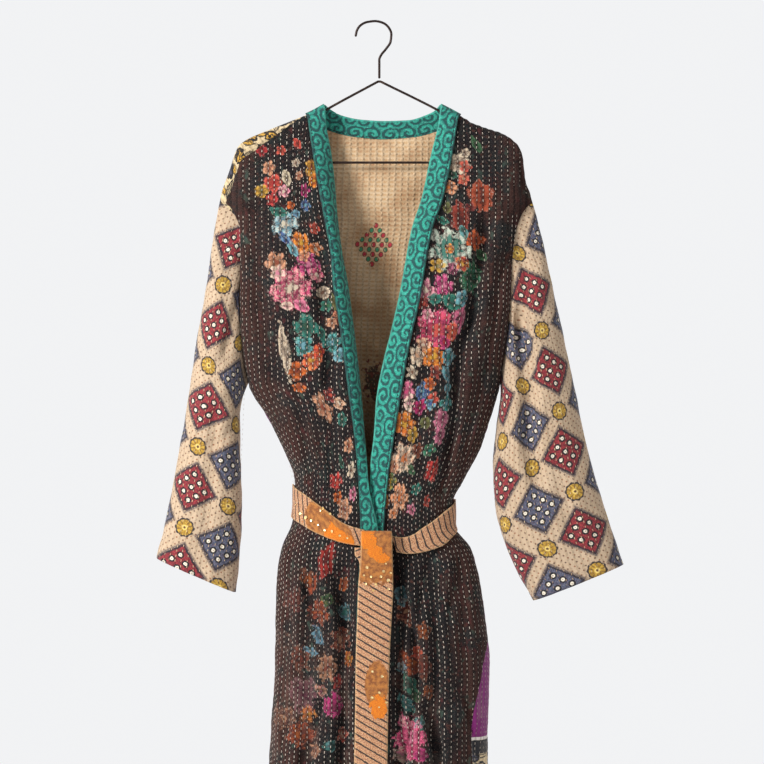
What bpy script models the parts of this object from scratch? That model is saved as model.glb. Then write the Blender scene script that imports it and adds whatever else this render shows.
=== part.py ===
"""A long quilted cotton kimono coat, tied with its own belt and hung on a thin wire hanger.

Metres in the meshes, millimetres in the tables. The origin is the inside top of the hanger's hook,
+Z is up, and the coat's front faces -Y. Heights in the tables are lengths below the hook.
"""
import math

import bpy
from mathutils import Vector

MM = 0.001
CLOTH = 2.0            # quilted two-layer cotton
BAND_CLOTH = 3.0       # the neck band is folded double
BELT_CLOTH = 2.4
BELT_GAP = 1.8         # between the coat and the belt
SEAM = 0.5             # room left between two pieces at a seam
RIDGE = 7.0            # radius of the cloth where it folds over the hanger's arm
ARM_TOP = 266.0        # the sleeve's highest point
UNDERARM = 530.0
HEM = 1341.0
SQUARENESS = 2.5       # of the body's cross-section, where 2 is an ellipse
ARM_FRONT = 24.0       # how far the armhole seam stands out in front and behind
WIRE = 1.8             # radius of the hanger's wire
BEHIND = 50.0          # degrees behind the ridge where the fronts meet the back
BACK_START = 64.0      # and where the back begins
UNDER = 8.0            # how far the right front lies under the left one
STRIP_NECK = 1.2       # how far the left shoulder's strip reaches down in front, at the neck
STRIP_REACH = 23.2     # and over the arm
EVEN_ROWS = 1.6        # from this row number on, the fronts' rows are the same across
NECK_SHARE = 0.42      # share of the back's upper edge that is the neck

# The body under the arms: half widths left and right of the hook, depths in front and behind.
BODY = [
    # low, left, right, front, back
    (120, 100, 120, 30, 12),
    (190, 190, 200, 36, 18),
    (300, 199, 205, 50, 27),
    (400, 198, 199, 58, 36),
    (480, 194, 190, 61, 43),
    (530, 186, 183, 61, 47),
    (584, 156, 168, 60, 50),
    (628, 134, 153, 59, 52),
    (673, 118, 129, 58, 53),
    (705, 117, 114, 57, 54),
    (735, 122, 114, 57, 54),
    (775, 138, 141, 62, 60),
    (810, 144, 151, 69, 68),
    (872, 146, 161, 77, 78),
    (943, 147, 168, 82, 84),
    (1058, 154, 165, 86, 88),
    (1200, 161, 166, 89, 91),
    (1341, 168, 171, 92, 94),
]

# The top outline of each half, from the band's seam over the hanger's arm to the sleeve's seam.
OUTLINE = {
    -1: [(101, 136), (124, 145), (156, 158), (190, 173), (201, 182), (207, 195), (214, 217), (225, 248),
         (229, 266)],
    1: [(124, 137), (147, 150), (180, 161), (201, 172), (211, 183), (216, 198), (220, 228), (227, 250),
        (232, 266)],
}

# The armhole seam as seen from the front, from the sleeve's top down to the underarm.
ARMHOLE = {
    -1: [(266, 229), (284, 211), (310, 202), (400, 199), (480, 195), (530, 187)],
    1: [(266, 232), (284, 219), (327, 206), (400, 199), (480, 190), (530, 183)],
}

# Where each front is sewn to the neck band.
FRONT_EDGE = {
    -1: [(136, -101), (178, -95), (226, -87), (282, -76), (345, -64), (382, -61), (464, -49), (555, -37),
         (605, -30), (670, -24), (746, -21), (850, -25), (1000, -27), (1341, -26)],
    1: [(137, 124), (204, 113), (261, 99.5), (305, 83), (415, 63), (477, 49), (555, 35.6), (606, 27.5),
        (655, 20), (702, 15), (750, 12), (850, 12), (1000, 13), (1341, 15)],
}

# The neck band's free edge, seen from the front.
BAND_EDGE = {
    -1: [(124, -74), (150, -73), (195, -66), (243, -61), (282, -58), (349, -49), (374, -44), (449, -33.5),
         (545, -22.5), (615, -16.6), (686, -9), (746, 4), (850, 8), (1000, 7), (1341, 8)],
    1: [(123, 97), (157, 92), (199, 82), (261, 69), (305, 55), (399, 37), (456, 24), (496, 13.7), (555, 2.5),
        (606, -1), (646, -6), (686, -8), (720, -18), (850, -21), (1000, -20), (1341, -18)],
}

# How far back of its seam the band's free edge lies.
BAND_TURN = {
    -1: [(124, 0), (180, 12), (282, 26), (450, 26), (560, 20), (640, 7), (690, 2), (800, 2), (1341, 3)],
    1: [(124, 0), (180, 8), (300, 14), (450, 14), (600, 9), (690, 3), (800, 2), (1341, 3)],
}

# Folds that run down the cloth: place at four heights, half width, depth (a valley is positive).
FOLDS_FRONT = {
    -1: [
        # low and x, four times, then half width, depth
        ((320, -80), (450, -70), (580, -62), (690, -60), 15, 6),
        ((250, -176), (350, -172), (450, -160), (560, -140), 24, 7),
        ((560, -110), (610, -102), (650, -96), (700, -92), 13, 5),
        ((760, -44), (880, -44), (1050, -46), (1341, -48), 19, 16),
        ((770, -92), (880, -96), (1050, -100), (1341, -106), 20, 9),
        ((770, -122), (850, -126), (1000, -130), (1341, -138), 13, 5),
    ],
    1: [
        ((290, 166), (373, 148), (555, 117), (700, 96), 17, 12),
        ((330, 190), (430, 172), (560, 146), (690, 112), 12, 5),
        ((240, 104), (330, 96), (450, 80), (560, 72), 20, 5),
        ((762, 36), (880, 34), (1050, 32), (1341, 32), 15, 10),
        ((758, 88), (880, 88), (1050, 86), (1341, 84), 18, 14),
        ((790, 124), (880, 128), (1050, 130), (1341, 134), 16, 7),
    ],
}
FOLDS_BACK = [
    ((330, -150), (450, -140), (580, -118), (690, -88), 22, 8),
    ((330, 146), (450, 140), (580, 120), (690, 90), 22, 8),
    ((420, -60), (500, -54), (600, -46), (690, -40), 18, 5),
    ((420, 72), (500, 60), (600, 50), (690, 44), 18, 5),
    ((770, -112), (900, -118), (1050, -120), (1341, -126), 18, 12),
    ((770, -62), (900, -66), (1050, -70), (1341, -72), 19, 15),
    ((770, -14), (900, -14), (1050, -10), (1341, -12), 18, 11),
    ((770, 38), (900, 42), (1050, 44), (1341, 46), 19, 15),
    ((770, 92), (900, 98), (1050, 104), (1341, 106), 19, 12),
]

# Each sleeve from the armhole to the cuff: its outer and its inner edge, and its half depth.
SLEEVE = {
    -1: [
        # outer x, outer low, inner x, inner low, half depth
        (-231, 270, -190, 533, 30),
        (-238, 316, -194, 545, 36),
        (-248, 390, -198, 566, 42),
        (-262, 468, -199, 600, 44),
        (-274, 550, -198, 650, 43),
        (-288, 630, -196, 712, 41),
        (-304, 715, -199, 778, 39),
        (-321, 787, -205, 837, 37),
    ],
    1: [
        (234, 270, 186, 533, 30),
        (245, 318, 185, 545, 38),
        (258, 380, 182, 568, 45),
        (274, 452, 177, 602, 48),
        (292, 536, 173, 650, 48),
        (312, 630, 177, 714, 46),
        (338, 718, 198, 784, 43),
        (364, 796, 232, 849, 40),
    ],
}

# Lengthwise folds of the sleeves: place from outer edge (0) to inner edge (1), half width, depth,
# first and last station, and the face they lie on.
FOLDS_SLEEVE = {
    -1: [(0.52, 0.16, 4.0, 3.0, 7.6, -1), (0.62, 0.18, 7.0, 0.6, 6.0, 1)],
    1: [(0.56, 0.17, 13.0, 0.5, 5.6, -1), (0.36, 0.13, 3.5, 3.6, 7.6, -1), (0.5, 0.18, 7.0, 0.6, 6.4, 1)],
}

# The back of the neck, where the band is sewn on, and the band's upper edge there.
NECK_SEAM = [
    # x, y, low
    (-104, 5, 139), (-88, 12, 150), (-70, 16, 158), (-34, 19, 167), (12, 20, 171), (56, 19, 168),
    (92, 16, 159), (110, 12, 151), (127, 5, 140),
]
NECK_TOP = [
    (-73, -7.5, 129), (-74.5, -5, 124), (-75, 0, 121.5), (-72, 6, 123.5), (-64, 11, 129), (-50, 14, 136),
    (-22, 16, 142), (14, 17, 144), (48, 16, 143), (76, 14, 135), (88, 11, 129), (93.5, 6, 123.5),
    (96, 0, 121.5), (96, -5, 124), (95, -7.5, 129),
]

# The belt's middle line and half width on the front of the waist, and level behind.
BELT_FRONT = [
    # angle from the left side seam through the front to the right, low, half width
    (-90, 701, 23), (-60, 712, 22), (-35, 730, 19), (-14, 749, 14), (0, 757, 12), (14, 766, 12),
    (35, 754, 16), (60, 735, 19), (90, 722, 20),
]

# The belt's front tail, from over the knot down: height, left and right edge, and place in front.
TAIL = [
    (746, -19, 22, 66), (744, -20, 23, 71), (745.5, -21, 24, 76), (751, -21, 24.5, 79), (775, -21, 25, 80),
    (795, -22, 25.5, 79.5), (815, -24, 26, 79), (831, -25, 26, 80.5), (868, -26, 24, 85), (924, -28, 21, 89.7),
    (1000, -29, 19, 93), (1058, -30, 18, 95), (1100, -31, 17, 95.8), (1150, -32, 16, 96), (1258, -33, 15, 97),
]

# The belt's second end, which hangs behind the first.
SECOND_END = [
    (769, -30, 8), (778, -30, 9), (790, -23, 14), (850, -22, 20), (1000, -24, 16), (1090, -26, 12),
]
KNOT_TOP, KNOT_END = 748.5, 788.0

# The hanger's wire on the left and right of its middle: x and height below the hook.
ARM_WIRE = {
    -1: [(3.9, 87), (-75, 130), (-98, 144), (-121, 152.5), (-153, 166.5), (-186, 181), (-196, 188),
         (-200, 196), (-196, 203.5), (-187, 206)],
    1: [(7.9, 87), (92, 129), (121, 146), (144, 157.5), (178, 169), (196, 179), (203.5, 189), (201, 200),
        (192, 206)],
}
HOOK_WIRE = [
    (-29, 21), (-27, 12), (-21.5, 4.2), (-12, -0.5), (0, -1.9), (11.5, 0.8), (20, 8), (23.6, 17), (22.5, 28),
    (15, 40), (8.6, 48), (5.9, 55), (5.9, 70), (5.9, 82.5),
]


def smooth(value):
    value = min(max(value, 0.0), 1.0)
    return value * value * (3 - 2 * value)


def read(rows, at, column=1):
    """The value of a column where the first column is `at`, on a curve through the rows."""
    if at <= rows[0][0]:
        return rows[0][column]
    if at >= rows[-1][0]:
        return rows[-1][column]
    k = 0
    while rows[k + 1][0] < at:
        k += 1
    x0, x1 = rows[k][0], rows[k + 1][0]
    y0, y1 = rows[k][column], rows[k + 1][column]
    slope = (y1 - y0) / (x1 - x0)
    before = after = slope
    if k > 0:
        last = (y0 - rows[k - 1][column]) / (x0 - rows[k - 1][0])
        before = 0.0 if last * slope <= 0 else 2 * last * slope / (last + slope)
    if k + 2 < len(rows):
        then = (rows[k + 2][column] - y1) / (rows[k + 2][0] - x1)
        after = 0.0 if then * slope <= 0 else 2 * then * slope / (then + slope)
    t = (at - x0) / (x1 - x0)
    step = x1 - x0
    return (
        (2 * t**3 - 3 * t**2 + 1) * y0 + (t**3 - 2 * t**2 + t) * step * before
        + (3 * t**2 - 2 * t**3) * y1 + (t**3 - t**2) * step * after
    )


def walk(points, t):
    """The point at the fraction t of a line through the points, by its length."""
    lengths = [0.0]
    for a, b in zip(points, points[1:]):
        lengths.append(lengths[-1] + math.dist(a, b))
    rows = [(length, *point) for length, point in zip(lengths, points)]
    at = t * lengths[-1]
    return tuple(read(rows, at, 1 + k) for k in range(len(points[0])))


def round_part(value, power):
    return math.copysign(abs(value) ** power, value)


def belt_low(angle):
    """The height of the belt's middle at an angle round the waist; 0 is the front, 180 the back."""
    if abs(angle) <= 90:
        return read(BELT_FRONT, angle, 1)
    turn = angle if angle > 0 else angle + 360
    return 722 + (701 - 722) * smooth((turn - 90) / 180)


def depth_at(low, angle):
    """The body's depth, drawn in where the belt lies and not level with it."""
    near = math.exp(-((low - 730) / 110) ** 2)
    column = 3 if abs(angle) <= 90 else 4
    return read(BODY, low - (belt_low(angle) - 712) * near, column)


def sides(low):
    """The x of the left and right edge of the body: the armhole seams, and the sides under them."""
    if low < UNDERARM:
        return -read(ARMHOLE[-1], low), read(ARMHOLE[1], low)
    return -read(BODY, low, 1), read(BODY, low, 2)


def around(angle, low):
    """Where the plain body stands at an angle: x, and the share of its depth in front or behind."""
    left, right = sides(low)
    power = 2 / SQUARENESS
    across = round_part(math.sin(math.radians(angle)), power)
    ahead = round_part(math.cos(math.radians(angle)), power)
    return (left + right) / 2 + (right - left) / 2 * across, ahead


def body_point(angle, low):
    """The body's plain outer surface under the arms, without folds."""
    x, ahead = around(angle, low)
    return x, -depth_at(low, angle) * ahead, -low


def angle_for(x, low):
    left, right = sides(low)
    share = (2 * x - left - right) / (right - left)
    share = min(max(share, -1.0), 1.0)
    return math.degrees(math.asin(round_part(share, SQUARENESS / 2)))


def fold_depth(folds, x, low, angle):
    """The depth of the folds at a place; they end softly above and below and at the belt."""
    total = 0.0
    for *places, half_width, depth in folds:
        top, bottom = places[0][0], places[-1][0]
        if low < top - 60 or low > bottom + 60:
            continue
        rise = smooth((low - top + 60) / 110)
        fall = 1.0 if bottom > HEM - 1 else 1.0 - smooth((low - bottom + 50) / 90)
        off = (x - read(places, low)) / half_width
        if abs(off) < 1:
            total += depth * rise * fall * math.cos(off * math.pi / 2) ** 2
    free = smooth((abs(low - belt_low(angle)) - 24) / 46)
    return total * free


def shoulder(side, u, turn):
    """The cloth where it folds over the hanger's arm. u runs from the neck to the sleeve, and turn is 0
    on the ridge, 90 in front of it and -90 behind."""
    x, low = walk(OUTLINE[side], u)
    before, after = walk(OUTLINE[side], max(u - 0.05, 0)), walk(OUTLINE[side], min(u + 0.05, 1))
    run = math.dist(before, after)
    away, up = (after[1] - before[1]) / run, (after[0] - before[0]) / run
    drop = RIDGE * (1 - math.cos(math.radians(turn)))
    return side * (x - away * drop), -RIDGE * math.sin(math.radians(turn)), -(low + up * drop)


def low_at(top_low, v):
    """The height of a column that starts at top_low: v is 0 there, 1 at the underarm and 2 at the hem."""
    if v <= 1:
        return top_low + (UNDERARM - top_low) * v
    return UNDERARM + (HEM - UNDERARM) * (v - 1)


def hang(top, top_angle, angle, v):
    """A point of the column that hangs from top, facing the given angles there and here."""
    top_low = -top[2]
    low = low_at(top_low, v)
    arm = ARM_FRONT * math.sin(math.pi * v) if v < 1 else 0.0
    x, ahead = around(angle, max(low, ARM_TOP))
    x += (top[0] - around(top_angle, max(top_low, ARM_TOP))[0]) * (1 - smooth(v * 1.5))
    spread = 1 - math.exp(-(low - top_low) / 70)
    start = abs(top[1]) * (1 - v if v < 1 else 0)
    depth = start + (depth_at(low, angle) - start) * spread * abs(ahead)
    depth = max(depth, 0.0) + arm * (1 - abs(ahead))
    return x, math.copysign(depth, -math.cos(math.radians(angle))), -low


def front_angle(side, u, low):
    start = side * angle_for(read(FRONT_EDGE[side], low), max(low, ARM_TOP))
    return side * min(start + (90 - start) * u, 89.999)


def front_point(side, u, w):
    """A front, its ridge too: w runs from 0 behind the ridge to 1 in front of it, 2 at the underarm
    and 3 at the hem, and u from the neck band to the side."""
    if w <= 1:
        return shoulder(side, u, -BEHIND + (90 + BEHIND) * w)
    top = shoulder(side, u, 90)
    low = low_at(-top[2], w - 1)
    angle = front_angle(side, u, low)
    x, y, z = hang(top, front_angle(side, u, -top[2]), angle, w - 1)
    inner = 1 - smooth((u - 0.84) / 0.16)
    y += fold_depth(FOLDS_FRONT[side], x, low, angle) * inner * smooth((w - 1) * 3)
    if side > 0:
        y += UNDER * smooth((low - 590) / 90) * (1 - smooth((abs(x) - 22) / 46))
    return x, y, z


def back_point(s, v):
    """The back: s runs from -1 at the left side to 1 at the right, v from 0 at the top to 1 at the
    underarm and 2 at the hem."""
    if abs(s) >= NECK_SHARE:
        top = shoulder(-1 if s < 0 else 1, (abs(s) - NECK_SHARE) / (1 - NECK_SHARE), -BACK_START)
    else:
        x, y, low = walk(NECK_SEAM, (s / NECK_SHARE + 1) / 2)
        top = (x, y, -low)
    angle = 180 - 90 * s if s >= 0 else -180 - 90 * s
    if abs(angle) < 90.001:
        angle = math.copysign(90.001, angle)
    x, y, z = hang(top, angle, angle, v)
    inner = 1 - smooth((abs(s) - 0.9) / 0.1)
    y -= fold_depth(FOLDS_BACK, x, -z, angle) * inner * smooth(v * 3)
    return x, y, z


def sleeve_point(side, q, k):
    """A sleeve: q runs round it from 0 on its outer edge over the front to 0.5 on its inner edge and
    on over the back, and k along it from the armhole's station 0 to the cuff's."""
    back = q > 0.5
    share = 2 * (1 - q) if back else 2 * q
    rows = [(n, *row) for n, row in enumerate(SLEEVE[side])]
    ox, olow, ix, ilow, half = (read(rows, k, c) for c in range(1, 6))
    turn = math.pi * share
    along = round_part(math.cos(turn), 0.9)
    wide = round_part(math.sin(turn), 0.8)
    x = (ox + ix) / 2 + (ox - ix) / 2 * along
    low = (olow + ilow) / 2 + (olow - ilow) / 2 * along
    y = -half * wide if not back else half * wide * 0.85
    part = (1 - along) / 2
    for place, half_width, depth, first, last, face in FOLDS_SLEEVE[side]:
        off = (part - place) / half_width
        if face == (1 if back else -1) and abs(off) < 1:
            ends = smooth((k - first) / 0.9) * (1 - smooth((k - last + 0.9) / 0.9))
            y -= face * depth * ends * math.cos(off * math.pi / 2) ** 2
    joined = 1 - smooth(k / 1.6)
    if joined > 0:
        ex, ey, ez = armhole_point(side, share, back)
        x, y, low = x + (ex - x) * joined, y + (ey - y) * joined, low + (-ez - low) * joined
    return x, y, -low


def armhole_point(side, share, back):
    """The body's edge beside the sleeve, from the ridge (0) down to the underarm (1)."""
    rounded = 0.1
    if share < rounded:
        return shoulder(side, 1, share / rounded * (-BACK_START if back else 90))
    v = (share - rounded) / (1 - rounded)
    return back_point(side, v) if back else front_point(side, 1, 1 + v)


def way_out(surface, a, b, limits, sign):
    """The outward direction of a surface of two numbers, which run from limits[0] to limits[1]."""
    size = 0.002
    (a0, b0), (a1, b1) = limits
    across = Vector(surface(min(a + size, a1), b)) - Vector(surface(max(a - size, a0), b))
    down = Vector(surface(a, min(b + size, b1))) - Vector(surface(a, max(b - size, b0)))
    return sign * down.cross(across).normalized()


def panel(surface, across, down, limits, sign):
    """The points and outward directions of a surface at some numbers across and down."""
    points = [[surface(a, b) for a in across] for b in down]
    return points, [[way_out(surface, a, b, limits, sign) for a in across] for b in down]


def spaced(first, last, count):
    return [first + (last - first) * n / (count - 1) for n in range(count)]


def wall(points, normals, thickness, closed=False):
    """A wall of even thickness under a grid of outer points, with its rims closed."""
    rows, columns = len(points), len(points[0])
    i, j = rows // 2, columns // 2
    down = Vector(points[i][j]) - Vector(points[i - 1][j])
    across = Vector(points[i][j]) - Vector(points[i][j - 1])
    if down.cross(across).dot(normals[i][j]) < 0:
        points, normals = [row[::-1] for row in points], [row[::-1] for row in normals]
    outer = [Vector(p) for row in points for p in row]
    inner = [Vector(p) - n * thickness for row, line in zip(points, normals) for p, n in zip(row, line)]
    under = rows * columns
    span = columns if closed else columns - 1
    faces = []
    for i in range(rows - 1):
        for j in range(span):
            a, b = i * columns + j, i * columns + (j + 1) % columns
            c, d = b + columns, a + columns
            faces += [(a, d, c, b), (a + under, b + under, c + under, d + under)]
    for j in range(span):
        a, b = j, (j + 1) % columns
        c, d = (rows - 1) * columns + b, (rows - 1) * columns + a
        faces += [(a, b, b + under, a + under), (c, d, d + under, c + under)]
    if not closed:
        for i in range(rows - 1):
            a, d = i * columns, (i + 1) * columns
            b, c = a + columns - 1, d + columns - 1
            faces += [(d, a, a + under, d + under), (b, c, c + under, b + under)]
    return outer + inner, faces


def tube(path, radius, sides_round=8, ring=False):
    """A round wire along a path."""
    spots = [Vector(p) for p in path]
    count = len(spots)
    verts, faces = [], []
    for k, spot in enumerate(spots):
        if ring:
            ahead = spots[(k + 1) % count] - spots[k - 1]
        else:
            ahead = spots[min(k + 1, count - 1)] - spots[max(k - 1, 0)]
        ahead.normalize()
        out = Vector((0, 1, 0))
        flat = ahead.cross(out).normalized()
        for m in range(sides_round):
            turn = 2 * math.pi * m / sides_round
            verts.append(spot + radius * (math.cos(turn) * flat + math.sin(turn) * out))
    for k in range(count if ring else count - 1):
        for m in range(sides_round):
            n = (m + 1) % sides_round
            a, b = k * sides_round, (k + 1) % count * sides_round
            faces.append((a + m, b + m, b + n, a + n))
    if not ring:
        faces.append(tuple(range(sides_round)))
        faces.append(tuple((count - 1) * sides_round + m for m in reversed(range(sides_round))))
    return verts, faces


def curve_through(points, steps):
    """A rounded path through points in the hanger's plane, given as x and length below the hook."""
    return [(x, 0, -low) for x, low in (walk(points, t) for t in spaced(0, 1, steps))]


def piece(name, shape, colour, roughness, metallic=0.0):
    verts, faces = shape
    mesh = bpy.data.meshes.new(name)
    mesh.from_pydata([tuple(v * MM) for v in verts], [], faces)
    mesh.validate()
    for face in mesh.polygons:
        face.use_smooth = True
    material = bpy.data.materials.new(name)
    material.use_nodes = True
    shader = material.node_tree.nodes["Principled BSDF"]
    shader.inputs["Base Color"].default_value = (*colour, 1)
    shader.inputs["Roughness"].default_value = roughness
    shader.inputs["Metallic"].default_value = metallic
    mesh.materials.append(material)
    thing = bpy.data.objects.new(name, mesh)
    bpy.context.scene.collection.objects.link(thing)
    return thing


def front_way(side, u, w):
    return way_out(lambda a, b: front_point(side, a, b), u, w, ((0, 0), (1, 3)), side)


def strip_end(u, room):
    """The row number w of the line where the strip over the left shoulder meets the left front."""
    reach = STRIP_NECK + (STRIP_REACH - STRIP_NECK) * smooth(u / 0.5) + room
    if reach < RIDGE:
        return (BEHIND + math.degrees(math.acos(1 - reach / RIDGE))) / (90 + BEHIND)
    return 1 + (reach - RIDGE) / (UNDERARM + shoulder(-1, u, 90)[2])


def build_front(side, columns, rows):
    """A front from its ridge, or on the left from the shoulder strip, down to the hem."""
    across = spaced(0, 1, columns)
    points, normals = [], []
    for row in rows:
        spots, ways = [], []
        for u in across:
            start = 0.0 if side > 0 else strip_end(u, SEAM * 2)
            w = row if row >= EVEN_ROWS else start + row / EVEN_ROWS * (EVEN_ROWS - start)
            x, y, z = front_point(side, u, w)
            if u == 1 and w >= 2:
                y -= SEAM * 0.6
            spots.append((x, y, z))
            ways.append(front_way(side, u, w))
        points.append(spots)
        normals.append(ways)
    return points, normals


def build_strip(columns, rows):
    """The strip of the back's cloth that comes forward over the left shoulder."""
    across = spaced(0, 1, columns)
    points, normals = [], []
    for part in spaced(0, 1, rows):
        spots = [front_point(-1, u, strip_end(u, 0) * part) for u in across]
        ways = [front_way(-1, u, strip_end(u, 0) * part) for u in across]
        points.append(spots)
        normals.append(ways)
    return points, normals


def build_back(shoulder_columns, neck_columns, rows):
    arm = spaced(NECK_SHARE, 1, shoulder_columns)
    across = [-s for s in reversed(arm)] + spaced(-NECK_SHARE, NECK_SHARE, neck_columns)[1:-1] + arm
    points, normals = panel(back_point, across, rows, ((-1, 0), (1, 2)), -1)
    for row, v in zip(points, rows):
        if v >= 1:
            for k in (0, -1):
                x, y, z = row[k]
                row[k] = (x, y + SEAM * 0.6, z)
    return points, normals


def build_sleeve(side, count, rows):
    across = [n / count for n in range(count)]
    last = len(SLEEVE[side]) - 1
    surface = lambda q, k: sleeve_point(side, q % 1, k)
    points, normals = panel(surface, across, rows, ((-1, 0), (2, last)), -side)
    ahead = [Vector(b) - Vector(a) for a, b in zip(points[0], points[1])]
    points[0] = [tuple(Vector(p) + way.normalized() * SEAM * 2.6) for p, way in zip(points[0], ahead)]
    return points, normals


def band_line(side, w):
    """The neck band at one height of a front: the seam, the way across from it, and the free edge."""
    seam = Vector(front_point(side, 0, w))
    away = (seam - Vector(front_point(side, 0.01, w))).normalized()
    low = -seam.z
    dx = abs(read(BAND_EDGE[side], low) - seam.x)
    low_free = low - 0.22 * dx
    free = Vector((read(BAND_EDGE[side], low_free), seam.y + read(BAND_TURN[side], low), -low_free))
    out = front_way(side, 0, w)
    return seam, away, free, out


def neck_line(t):
    """The neck band at the share t of its way round the neck, from ridge to ridge."""
    ridge = 0.07
    if t < ridge or t > 1 - ridge:
        side, w = (-1, 1 - t / ridge) if t < ridge else (1, 1 - (1 - t) / ridge)
        seam = Vector(front_point(side, 0, w))
        away = (seam - Vector(front_point(side, 0.01, w))).normalized()
        out = front_way(side, 0, w)
    else:
        s = NECK_SHARE * (2 * (t - ridge) / (1 - 2 * ridge) - 1) * 0.95
        seam = Vector(back_point(s, 0))
        away = (seam - Vector(back_point(s, 0.01))).normalized()
        out = way_out(back_point, s, 0, ((-1, 0), (1, 2)), -1)
    return seam, away, Vector(walk([(x, y, -low) for x, y, low in NECK_TOP], t)), out


def build_band(rows, round_neck):
    lines = [band_line(-1, w) for w in reversed(rows)]
    ridge = [0, 0.0175, 0.035, 0.0525, 0.07]
    over = ridge + spaced(0.07, 0.93, round_neck)[1:-1] + [1 - t for t in reversed(ridge)]
    lines += [neck_line(t) for t in over]
    lines += [band_line(1, w) for w in rows]
    shares = (0.0, 0.3, 0.65, 1.0)
    points = []
    for k, (seam, away, free, out) in enumerate(lines):
        corner = min(abs(k - len(rows) - 4), abs(len(lines) - 1 - k - len(rows) - 4))
        room = 1.2 if k < len(rows) or k >= len(lines) - len(rows) else 2.6
        start = seam + away * SEAM * (room + (0, 1.5, 3)[max(2 - corner, 0)])
        bend = start + away * (free - start).length * 0.42
        points.append([
            tuple((1 - b) ** 2 * start + 2 * b * (1 - b) * bend + b * b * free) for b in shares
        ])
    normals = []
    for i, row in enumerate(points):
        before, after = points[max(i - 1, 0)], points[min(i + 1, len(points) - 1)]
        ways = [lines[i][3]]
        for j in range(1, len(row)):
            along = Vector(after[j]) - Vector(before[j])
            over = Vector(row[min(j + 1, len(row) - 1)]) - Vector(row[j - 1])
            way = along.cross(over).normalized()
            ways.append(way if way.dot(ways[-1]) > 0 else -way)
        normals.append(ways)
    return points, normals


def belt_surface(angle, offset):
    turned = (angle + 180) % 360 - 180
    half = read(BELT_FRONT, turned, 2) if abs(turned) <= 90 else 21.0
    low = belt_low(turned) + half * offset
    spot = Vector(body_point(turned, low))
    step = Vector(body_point(turned + 0.5, low)) - Vector(body_point(turned - 0.5, low))
    out = Vector((-step.y, step.x, 0)).normalized()
    if out.dot(Vector((spot.x, spot.y, 0))) < 0:
        out = -out
    return spot + out * (BELT_GAP + BELT_CLOTH + 0.8 * (1 - offset * offset)), out


def build_belt(columns):
    angles = [-9 - 343 * n / (columns - 1) for n in range(columns)]
    made = [[belt_surface(a, b) for a in angles] for b in (-1, -0.4, 0.4, 1)]
    return [[tuple(p) for p, _ in row] for row in made], [[n for _, n in row] for row in made]


def build_tail(rows):
    """A hanging strip from rows of height, left and right edge and place in front."""
    points, normals = [], []
    for k, (low, left, right, front) in enumerate(rows):
        before, after = rows[max(k - 1, 0)], rows[min(k + 1, len(rows) - 1)]
        down = Vector((0, -(after[3] - before[3]), -(after[0] - before[0]))).normalized()
        out = Vector((0, down.z, -down.y)).normalized()
        spots = []
        for share in (0.0, 0.33, 0.67, 1.0):
            swell = 1.2 * math.sin(math.pi * share)
            spots.append((left + (right - left) * share, -front - swell, -low))
        points.append(spots)
        normals.append([out] * 4)
    return points, normals


def build_knot():
    """The knot, a pad of folded cloth behind the tail's upper end."""
    verts, faces = [], []
    rounds = 14
    levels = [0.0, 0.06, 0.2, 0.5, 0.8, 0.94, 1.0]
    for level in levels:
        fill = math.sqrt(max(1 - (2 * level - 1) ** 4, 0.12))
        low = KNOT_TOP + (KNOT_END - KNOT_TOP) * level
        for n in range(rounds):
            turn = 2 * math.pi * n / rounds
            x = 2 + 20.5 * fill * round_part(math.sin(turn), 0.8)
            y = -70.7 - 6.2 * fill * round_part(math.cos(turn), 0.8)
            verts.append(Vector((x, y, -low)))
    for i in range(len(levels) - 1):
        for n in range(rounds):
            m = (n + 1) % rounds
            a, b = i * rounds, (i + 1) * rounds
            faces.append((a + n, b + n, b + m, a + m))
    faces.append(tuple(range(rounds)))
    last = (len(levels) - 1) * rounds
    faces.append(tuple(last + n for n in reversed(range(rounds))))
    return verts, faces


for thing in list(bpy.data.objects):
    bpy.data.objects.remove(thing, do_unlink=True)

TOP_ROWS = [0.0, 0.3, 0.6, 0.85, 1.0, 1.05, 1.12, 1.22, 1.34, 1.47, 1.6]
LOW_ROWS = [1.73, 1.87, 2.0, 2.06, 2.12, 2.17, 2.215, 2.26, 2.31, 2.37, 2.44, 2.53, 2.64, 2.76, 2.88, 3.0]
BACK_ROWS = [0.0, 0.06, 0.14, 0.26, 0.4, 0.56, 0.72, 0.87] + [row - 1 for row in LOW_ROWS[2:]]
BAND_ROWS = [1.03, 1.1] + TOP_ROWS[7:] + LOW_ROWS
LEFT_TOP = [0.0, 0.2, 0.45, 0.75, 1.05, 1.33, 1.6]

piece("back", wall(*build_back(12, 13, BACK_ROWS), CLOTH), (0.42, 0.32, 0.24), 0.85)
piece("shoulder_strip", wall(*build_strip(22, 6), CLOTH), (0.6, 0.5, 0.34), 0.85)
piece("front_left", wall(*build_front(-1, 22, LEFT_TOP + LOW_ROWS), CLOTH), (0.06, 0.035, 0.03), 0.85)
piece("front_right", wall(*build_front(1, 22, TOP_ROWS + LOW_ROWS), CLOTH), (0.05, 0.035, 0.035), 0.85)
for side, name in ((-1, "sleeve_left"), (1, "sleeve_right")):
    stations = spaced(0, len(SLEEVE[side]) - 1, 13)
    piece(name, wall(*build_sleeve(side, 22, stations), CLOTH, closed=True), (0.6, 0.45, 0.3), 0.85)
piece("neck_band", wall(*build_band(BAND_ROWS, 17), BAND_CLOTH), (0.02, 0.27, 0.24), 0.8)
piece("belt_wrap", wall(*build_belt(57), BELT_CLOTH), (0.55, 0.36, 0.2), 0.8)
piece("belt_knot", build_knot(), (0.5, 0.3, 0.12), 0.8)
piece("belt_tail", wall(*build_tail(TAIL), BELT_CLOTH), (0.55, 0.33, 0.16), 0.8)
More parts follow.
